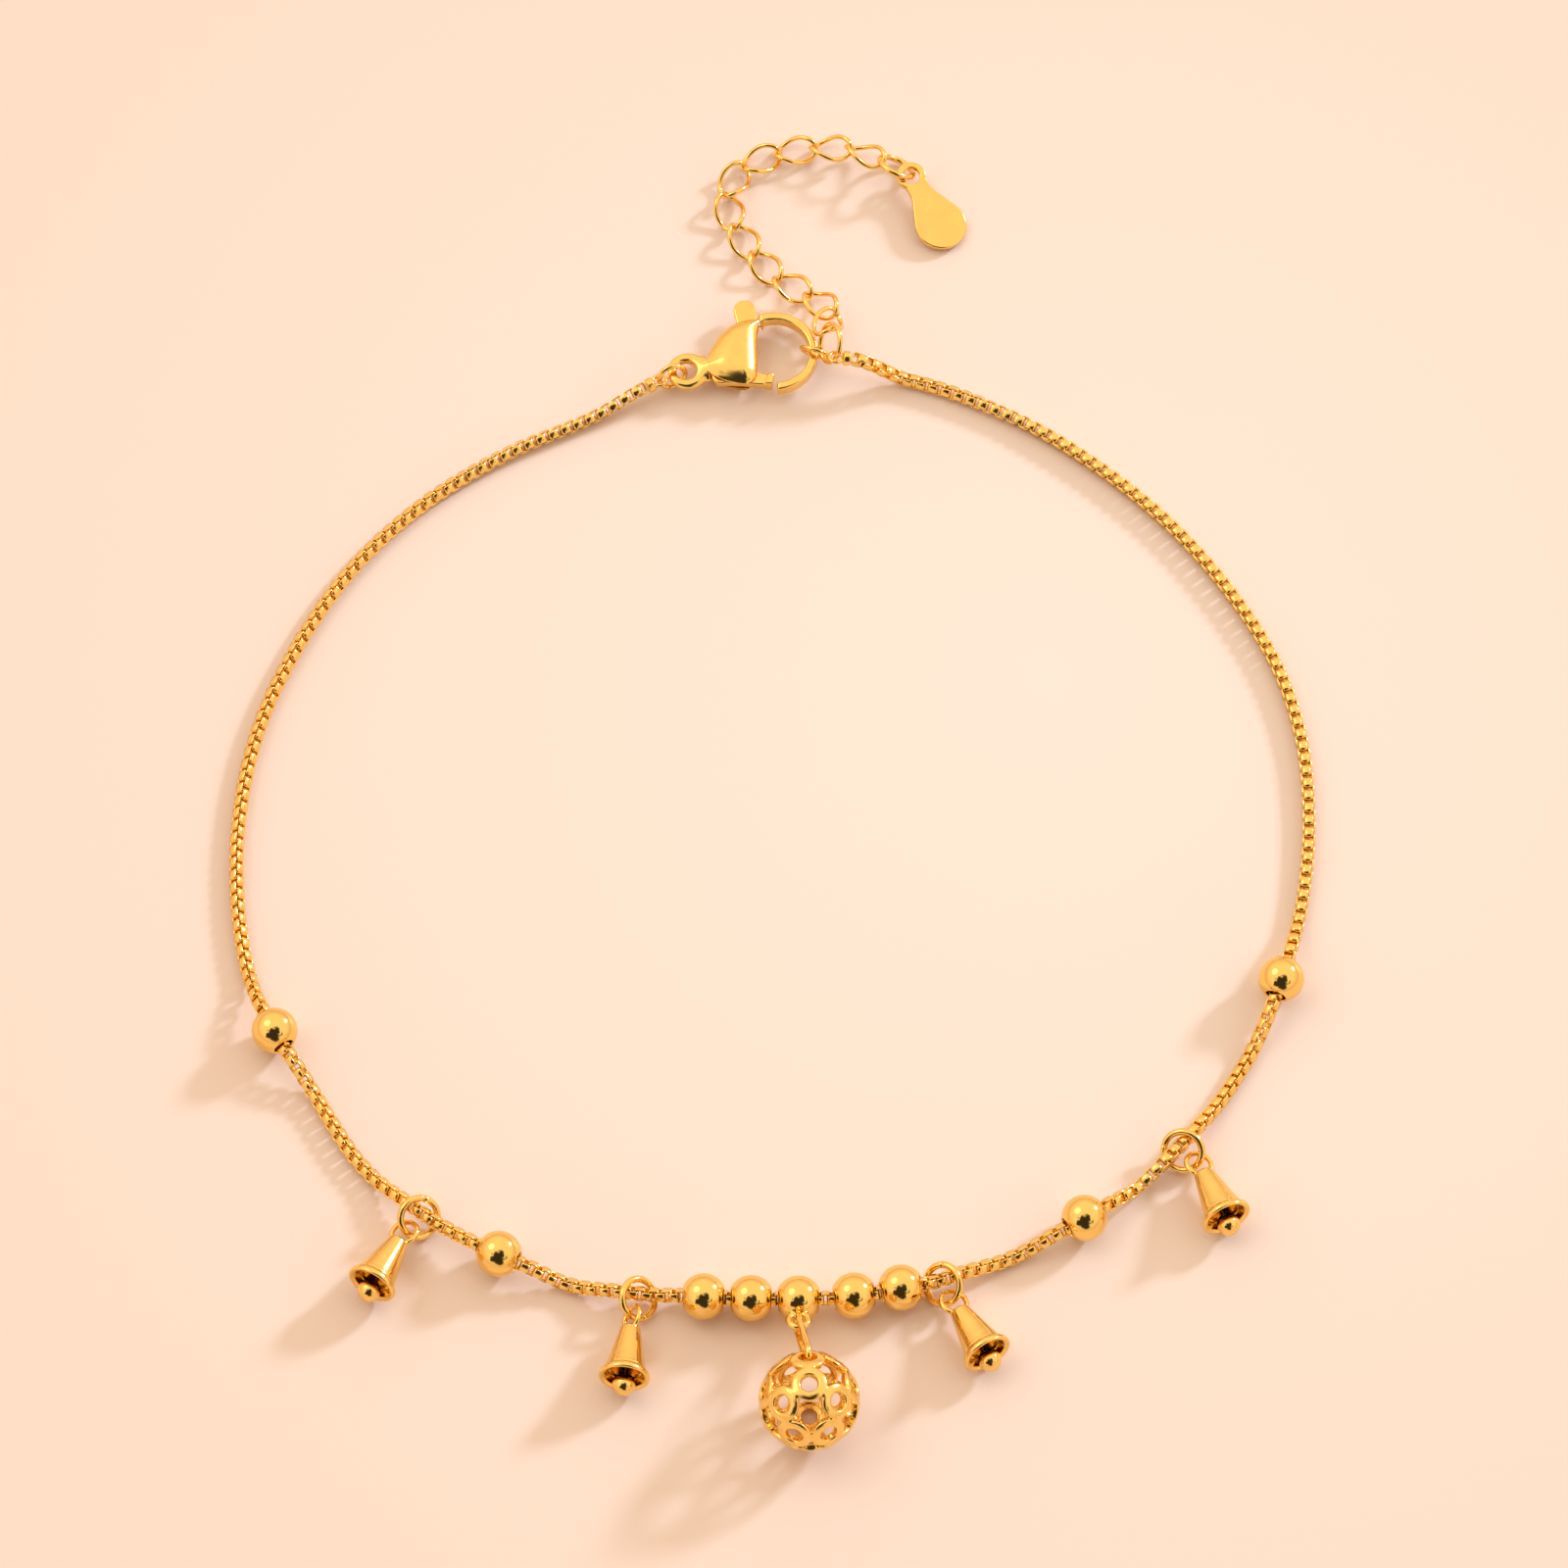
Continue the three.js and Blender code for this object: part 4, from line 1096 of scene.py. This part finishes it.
@dataclass
class ChainEnd:
    """A soldered end: the eye and the short cap that holds the chain's last link."""

    node: str
    mean: float = 0.46 * MM
    wire: float = 0.26 * MM
    cap: float = 1.0 * MM
    cap_length: float = 0.5 * MM
    reach: float = 0.7 * MM

    def pose(self, towards: Array) -> Pose:
        """The eye's frame, its X towards the chain.

        Args:
            towards: a point farther along the chain.

        Returns:
            The frame with its origin at the eye's centre.
        """
        points = node_points(self.node)
        middle, axes = principal(points)
        away = axes[0] if (towards - middle) @ axes[0] > 0 else -axes[0]
        start = ((points - middle) @ away).min() + self.mean + self.wire / 2
        return Pose.on(middle + away * start, away, axes[1])

    def build(self, towards: Array) -> None:
        """Joins eye and cap.

        Args:
            towards: a point farther along the chain.
        """
        pose = self.pose(towards)

        def field(p: Array) -> Array:
            """Distance to the eye and its cap."""
            cap = thick(np.hypot(p[:, 1], p[:, 2]) - self.cap / 2, p[:, 0] - self.mean - self.cap_length / 2,
                        self.cap_length / 2, 0.12 * MM)
            return smin(cap, torus_field(p, self.mean, self.wire), 0.1 * MM)

        low = np.array([-self.mean - self.wire, -self.reach, -self.reach])
        high = np.array([self.mean + self.cap_length, self.reach, self.reach])
        verts, faces = skin(field, low, high, 0.045 * MM)
        Finish.CAST.dress(mesh_piece(self.node + "_eye", pose.out(verts), faces, self.node))


@dataclass
class BoxChain:
    """The square links of flat strip, each turned a quarter from the next."""

    line: ChainLine
    width: float = 0.9 * MM
    outer: float = 0.73 * MM
    across: float = 0.85 * MM
    strip: float = 0.54 * MM
    gauge: float = 0.135 * MM
    corner: float = 0.1 * MM
    pitch: float = 0.4465 * MM
    turns: tuple[tuple[float, float], ...] = (
        (0.0, 20), (0.08, 45), (0.3, 45), (0.36, 50), (0.45, 40), (0.5, 45), (0.6, 40), (0.63, 100),
        (0.68, 130), (0.72, 90), (0.8, 90), (0.93, 95), (1.0, 180),
    )

    def link(self) -> tuple[Array, Array]:
        """One link of rounded strip, its run along X and its square in XY.

        Returns:
            Vertices and faces.
        """
        corner = self.corner
        half_x, half_y = (self.outer - self.gauge) / 2, (self.across - self.gauge) / 2
        path = []
        for sx, sy, start in ((1, 1, 0), (-1, 1, 90), (-1, -1, 180), (1, -1, 270)):
            for turn in (0, 45, 90):
                a = math.radians(start + turn)
                path.append((sx * (half_x - corner) + corner * math.cos(a),
                             sy * (half_y - corner) + corner * math.sin(a), math.cos(a), math.sin(a)))
        path = np.array(path)
        centres = np.column_stack([path[:, :2], np.zeros(len(path))])
        sides = np.column_stack([path[:, 2:], np.zeros(len(path))])
        g, w, e = self.gauge / 2, self.strip / 2, self.gauge * 0.3
        section = np.array([(g, -w + e), (g, w - e), (g - e, w), (-g + e, w), (-g, w - e), (-g, -w + e),
                            (-g + e, -w), (g - e, -w)])
        return sweep(centres, sides, np.tile(UP, (len(path), 1)), section)

    def build(self, start: float, end: float, node: str) -> None:
        """Lays the links of one half of the chain as one mesh.

        Args:
            start: length along the line where the half starts.
            end: where it ends.
            node: the solid it stands for.
        """
        verts, faces = self.link()
        count = int(round((end - start) / self.pitch))
        parts, rows = [], []
        stops = start + (np.arange(count) + 0.5) * (end - start) / count
        shares, degrees = zip(*self.turns)
        for i, s in enumerate(stops):
            centre, way = self.line.chord(s, self.pitch)
            side = right_of(way)
            over = np.cross(side, way)
            roll = math.radians(float(np.interp(s / self.line.length, shares, degrees)) + 90 * (i % 2))
            pose = Pose.of(centre, way, mix(side, over, roll))
            parts.append(pose.out(verts))
            rows.append(faces + i * len(verts))
        Finish.STRIP.dress(mesh_piece(node + "_links", np.vstack(parts), np.vstack(rows), node))


@dataclass
class JumpRing:
    """Sizes of the leaning rings that carry the bells."""

    mean: float = 1.27 * MM
    wire: float = 0.46 * MM
    lean: float = math.radians(38)
    dip: float = math.radians(12)
    hang: float = 0.35 * MM

    def height(self) -> float:
        """The height of the ring's centre when its lowest side is on the floor."""
        spread = math.hypot(math.sin(self.dip), math.sin(self.lean) * math.cos(self.dip))
        return self.mean * spread + self.wire / 2 + FLOOR_GAP


@dataclass(frozen=True)
class Hung:
    """A piece on the chain: free chain before it in bead widths, and a bell's turns in degrees."""

    before: float
    bead: str = ""
    bell: int = 0
    hook: float = 0
    heading: float = 0
    roll: float = 0


ROWS = {
    Side.LEFT: (
        Hung(0, "bead_4"), Hung(0, "bead_3"), Hung(0.72, bell=2, hook=15, heading=-6, roll=56),
        Hung(2.48, "bead_2"), Hung(1.27, bell=1, hook=8, heading=-28, roll=20), Hung(4.7, "bead_1"),
    ),
    Side.RIGHT: (
        Hung(0.17, "bead_5"), Hung(0.01, "bead_6"), Hung(0.23, bell=3, hook=15, heading=29, roll=-20),
        Hung(2.71, "bead_7"), Hung(2.01, bell=4, hook=3, heading=23, roll=-20), Hung(3.88, "bead_8"),
    ),
}


class Anklet:
    """The whole anklet laid out along its chain."""

    hanger_share = 0.4988
    bead_diameter = 3.0 * MM
    bead_gap = 0.04 * MM
    seam = 0.3 * MM

    def __init__(self) -> None:
        """Finds the chain's ends at the eyes and lays out the pieces between them."""
        self.ring = JumpRing()
        self.shift = self.find_shift()
        self.ends = {side: ChainEnd(name) for side, name in (
            (Side.LEFT, "chain_end_left"), (Side.RIGHT, "chain_end_right"))}
        route = np.array(CHAIN_ROUTE) - self.shift[:2]
        starts = {}
        for side, end in self.ends.items():
            near = route[0] if side is Side.LEFT else route[-1]
            far = route[2] if side is Side.LEFT else route[-3]
            pose = end.pose(np.array([*far, 0.0]))
            starts[side] = pose.origin + pose.axes[0] * (end.mean + end.cap_length + PLAY)
            gap = np.linalg.norm(starts[side][:2] - near) / MM
            log.info("%s starts %.2f mm from the route", side.name, gap)
        self.line = ChainLine(route, starts[Side.LEFT], starts[Side.RIGHT])
        line = self.line
        line.hold(0, self.seam, starts[Side.LEFT][2])
        line.hold(line.length - self.seam, line.length, starts[Side.RIGHT][2])
        self.middle = line.length * self.hanger_share
        self.bead_half = (self.bead_diameter + self.bead_gap) / 2
        self.places: list[tuple[float, Side, Hung]] = []
        for side, row in ROWS.items():
            reach = self.bead_half
            for hung in row:
                half = self.ring.wire if hung.bell else self.bead_half
                reach += hung.before * self.bead_diameter + half
                self.places.append((self.middle + side.value * reach, side, hung))
                reach += half
        base = frame_floor()
        in_ring = base + self.ring.height() + self.ring.hang * math.sin(self.ring.dip)
        stretches = [(self.middle, self.bead_half, base + self.bead_diameter / 2)]
        for s, _, hung in self.places:
            half = self.ring.mean * 0.8 if hung.bell else self.bead_half
            stretches.append((s, half, in_ring if hung.bell else base + self.bead_diameter / 2))
        for s, half, height in stretches:
            line.hold(s - half, s + half, height)

    def find_shift(self) -> Array:
        """How far the plan lies from the part's own frame, read from the clasp's solid."""
        points = node_points("clasp_body")
        along, across = CLASP_ALONG, CLASP_ACROSS
        tail_end = (points @ along).min()
        far_edge = (points @ along).max()
        hook_centre = far_edge - LobsterClasp.hook_outer
        tail = hook_centre - LobsterClasp.hook_away
        log.info("tail ring's edge %.3f mm from its place", (tail - tail_end - LobsterClasp.tail_outer) / MM)
        hooked = points[points @ along > hook_centre]
        middle = ((hooked @ across).max() + (hooked @ across).min()) / 2
        at = along * tail + across * middle
        return np.array([*(np.array(CLASP_TAIL) - at[:2]), 0.0])

    def clasp_pose(self) -> Pose:
        """The clasp's own frame at its tail hole."""
        low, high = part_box("clasp_body")
        origin = np.array([*(np.array(CLASP_TAIL) - self.shift[:2]), (low[2] + high[2]) / 2])
        return Pose.of(origin, CLASP_ALONG, CLASP_ACROSS)

    def build_bead(self, s: float, node: str) -> None:
        """Strings a plain bead at a length along the chain."""
        middle, way = self.line.chord(s, self.bead_half)
        Bead(node, middle, way).build()
        low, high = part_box(node)
        gap = np.linalg.norm(middle - (np.array(low) + high) / 2) / MM
        log.info("%s is %.3f mm from its solid", node, gap)

    def build_bell(self, s: float, side: Side, hung: Hung) -> None:
        """Hangs a bell on its leaning ring.

        Args:
            s: length along the chain.
            side: the half it is on.
            hung: its turns.
        """
        ring, bell = self.ring, Bell(hung.bell)
        middle, way = self.line.chord(s, ring.mean / 2)
        outward = right_of(way)
        dipped, over = mix(outward, UP, -ring.dip), mix(UP, outward, ring.dip)
        leaning = mix(way * side.value, over, ring.lean)
        ring_at = middle + dipped * ring.hang
        hooked = ring_at + mix(dipped, leaning, math.radians(hung.hook)) * ring.mean
        heading = math.radians(hung.heading)
        level = np.array([math.sin(heading), -math.cos(heading), 0.0])
        loop_at = hooked + level * PLAY
        base = frame_floor()
        loop_at[2] = max(loop_at[2], base + bell.loop + bell.loop_wire / 2)
        reach, lip, rise = bell.loop_away + bell.length * 0.95, bell.mouth / 2 + FLOOR_GAP, 0.0
        for _ in range(20):
            rise = math.asin((lip * math.cos(rise) - (loop_at[2] - base)) / reach)
        axis = mix(level, UP, rise)
        sideways = right_of(level)
        crown_at = loop_at + axis * bell.loop_away
        bell.build(crown_at, sideways, axis, math.radians(hung.roll), -mix(UP, level, rise))

    def build(self) -> None:
        """Makes every piece, in the order of the chain."""
        LobsterClasp(self.clasp_pose()).build()
        log.info("clasp made")
        for name in ("tail_ring", "hook_ring", "joining_ring", "end_ring"):
            RoundWireRing(name).build()
        for number in range(1, 5):
            RoundWireRing(f"bell_ring_{number}", seam=number + 1).build()
        for number in range(1, 12):
            CurbLink(f"extension_link_{number}").build()
        OvalLink().build()
        DropTag().build()
        log.info("rings, extension and tag made")
        self.ends[Side.LEFT].build(self.line.at(4 * MM))
        self.ends[Side.RIGHT].build(self.line.at(self.line.length - 4 * MM))
        for s, side, hung in self.places:
            if hung.bell:
                self.build_bell(s, side, hung)
            else:
                self.build_bead(s, hung.bead)
        middle, way = self.line.chord(self.middle, self.bead_half)
        HangerBead("hanger_bead", middle, way).build()
        OpenworkBall().build()
        log.info("beads, bells and ball made")
        chain = BoxChain(self.line)
        chain.build(0, self.middle - self.seam / 2, "chain_left")
        chain.build(self.middle + self.seam / 2, self.line.length, "chain_right")
        log.info("chain made")


def frame_floor() -> float:
    """The height of the floor's contact, under the lowest solid."""
    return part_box("bead_1")[0][2] - FLOOR_GAP


@dataclass
class Studio:
    """The pale floor, the soft lights and the camera."""

    floor_colour: tuple[float, float, float] = (0.94, 0.75, 0.63)
    # The floor's painted pool of light: a lighter colour at a spot, fading to the plain floor colour over a
    # reach
    painted_light_colour: tuple[float, float, float] = (0.98, 0.84, 0.75)
    painted_light_centre: tuple[float, float, float] = (0.018, 0.008, 0.0)
    painted_light_reach: float = 0.08
    elevation: float = 65.18
    distance: float = 0.68478
    lens: float = 239.9
    sun: float = 2.1
    sun_angle: float = math.radians(8)
    sun_height: float = math.radians(23.5)
    sun_turn: float = math.radians(36)
    dark_height: float = math.radians(48)
    room_light: float = 1.18
    pane_direction: tuple[float, float, float] = (-0.54, 0.28, 0.79)
    pane_colour: tuple[float, float, float, float] = (2.2, 1.95, 1.6, 1)
    pane_edge: tuple[float, float] = (0.955, 0.985)
    dark_colour: tuple[float, float, float, float] = (0.035, 0.03, 0.025, 1)
    dark_edge: tuple[float, float] = (1.02, 1.13)
    ragged_size: float = 2.6
    ragged_share: float = 0.5
    low_wall: tuple[float, float, float, float] = (0.72, 0.5, 0.37, 1)
    high_wall: tuple[float, float, float, float] = (1.0, 0.83, 0.67, 1)
    sun_colour: tuple[float, float, float] = (0.7, 0.8, 1.0)
    floor_half: float = 3.0

    def floor(self) -> None:
        """Lays a large matt floor under the anklet, its colour painted lighter round a spot near the middle
        as a painted pool of light.
        """
        mesh = bpy.data.meshes.new("floor")
        size = self.floor_half
        corners = [(-size, -size, 0), (size, -size, 0), (size, size, 0), (-size, size, 0)]
        mesh.from_pydata(corners, [], [(0, 1, 2, 3)])
        floor = bpy.data.objects.new("floor", mesh)
        bpy.context.collection.objects.link(floor)
        floor.location.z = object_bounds()[0][2] - 0.01 * MM
        material, tree, shader = new_material("pale floor")
        shader.inputs["Roughness"].default_value = 0.6
        shader.inputs["Specular IOR Level"].default_value = 0.2
        # Painted light: a round gradient that lightens the floor's colour towards a spot near the middle
        place = add_node(tree, "ShaderNodeTexCoord")
        around = add_node(tree, "ShaderNodeMapping", {
            "Scale": (1 / self.painted_light_reach,) * 3,
            "Location": [-c / self.painted_light_reach for c in self.painted_light_centre],
        }, {"Vector": place.outputs["Object"]})
        painted_light_fade = add_node(tree, "ShaderNodeTexGradient", links={"Vector": around.outputs["Vector"]})
        painted_light_fade.gradient_type = "SPHERICAL"
        ramp = add_node(tree, "ShaderNodeValToRGB", links={"Fac": painted_light_fade.outputs["Fac"]})
        ramp.color_ramp.elements[0].color = (*self.floor_colour, 1)
        ramp.color_ramp.elements[1].color = (*self.painted_light_colour, 1)
        feed(tree, shader, {"Base Color": ramp.outputs["Color"]})
        mesh.materials.append(material)
        floor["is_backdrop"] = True

    def sunlight(self) -> None:
        """Adds the low, slightly soft light from the upper right."""
        data = bpy.data.lights.new("window light", "SUN")
        data.energy = self.sun
        data.angle = self.sun_angle
        data.color = self.sun_colour
        lamp = bpy.data.objects.new("window light", data)
        lamp.rotation_euler = (math.pi / 2 - self.sun_height, 0, math.pi / 2 + self.sun_turn)
        bpy.context.collection.objects.link(lamp)

    @staticmethod
    def facing(
        tree: bpy.types.NodeTree, place: bpy.types.NodeSocket, way: tuple[float, float, float]
    ) -> bpy.types.NodeSocket:
        """How nearly each place of the room lies in a direction."""
        towards = add_node(tree, "ShaderNodeVectorMath")
        towards.operation = "DOT_PRODUCT"
        towards.inputs[1].default_value = way
        feed(tree, towards, {0: place})
        return towards.outputs["Value"]

    @staticmethod
    def laid_over(
        tree: bpy.types.NodeTree, under: bpy.types.NodeSocket, value: bpy.types.NodeSocket,
        span: tuple[float, float], colour: tuple[float, float, float, float],
    ) -> bpy.types.NodeSocket:
        """Lays a soft-edged patch over the room.

        Args:
            tree: the room's nodes.
            under: the colours below.
            value: what the patch follows.
            span: the value where the patch starts and where it is full.
            colour: the patch's colour.

        Returns:
            The colours with the patch.
        """
        ends = {"From Min": span[0], "From Max": span[1]}
        edge = add_node(tree, "ShaderNodeMapRange", ends, {"Value": value})
        edge.interpolation_type = "SMOOTHSTEP"
        blend = add_node(tree, "ShaderNodeMix")
        blend.data_type = "RGBA"
        blend.inputs["B"].default_value = colour
        feed(tree, blend, {"Factor": edge.outputs["Result"], "A": under})
        return blend.outputs["Result"]

    def room(self) -> None:
        """Surrounds the anklet with a bright pale room that is dark behind the camera."""
        world = bpy.data.worlds.new("pale room")
        bpy.context.scene.world = world
        world.use_nodes = True
        tree = world.node_tree
        background = tree.nodes["Background"]
        place = add_node(tree, "ShaderNodeTexCoord").outputs["Generated"]
        split = add_node(tree, "ShaderNodeSeparateXYZ", links={"Vector": place})
        walls = add_node(tree, "ShaderNodeValToRGB", links={"Fac": split.outputs["Z"]})
        walls.color_ramp.elements[0].color = self.low_wall
        walls.color_ramp.elements[1].color = self.high_wall
        walls.color_ramp.elements[1].position = 0.5
        size = {"Scale": self.ragged_size, "Detail": 1.0}
        ragged = add_node(tree, "ShaderNodeTexNoise", size, {"Vector": place})
        behind = (0.0, -math.cos(self.dark_height), math.sin(self.dark_height))
        dark = add_node(tree, "ShaderNodeMath")
        dark.operation = "MULTIPLY_ADD"
        dark.inputs[1].default_value = self.ragged_share
        feed(tree, dark, {0: ragged.outputs["Fac"], 2: self.facing(tree, place, behind)})
        pane = self.facing(tree, place, self.pane_direction)
        lit = self.laid_over(tree, walls.outputs["Color"], pane, self.pane_edge, self.pane_colour)
        full = self.laid_over(tree, lit, dark.outputs["Value"], self.dark_edge, self.dark_colour)
        feed(tree, background, {"Color": full})
        background.inputs["Strength"].default_value = self.room_light

    def camera(self, aim: Array) -> None:
        """Puts the camera at the photograph's angle.

        Args:
            aim: the floor point at the picture's centre.
        """
        data = bpy.data.cameras.new("camera")
        data.lens = self.lens
        data.sensor_width = 36.0
        data.clip_start = 0.01
        camera = bpy.data.objects.new("camera", data)
        e = math.radians(self.elevation)
        camera.location = aim + np.array([0, -math.cos(e), math.sin(e)]) * self.distance
        camera.rotation_euler = (math.pi / 2 - e, 0, 0)
        bpy.context.collection.objects.link(camera)
        bpy.context.scene.camera = camera


def main() -> None:
    """Builds the anklet and its studio."""
    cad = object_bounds()
    anklet = Anklet()
    studio = Studio()
    studio.camera(-anklet.shift + np.array([0, 0, cad[0][2]]))
    anklet.build()
    studio.floor()
    studio.sunlight()
    studio.room()
    bpy.context.scene.view_settings.view_transform = "Standard"
    log.info("sizes written")


if __name__ == "__main__":
    logging.basicConfig(level=logging.INFO, format="%(message)s")
    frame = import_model()
    main()
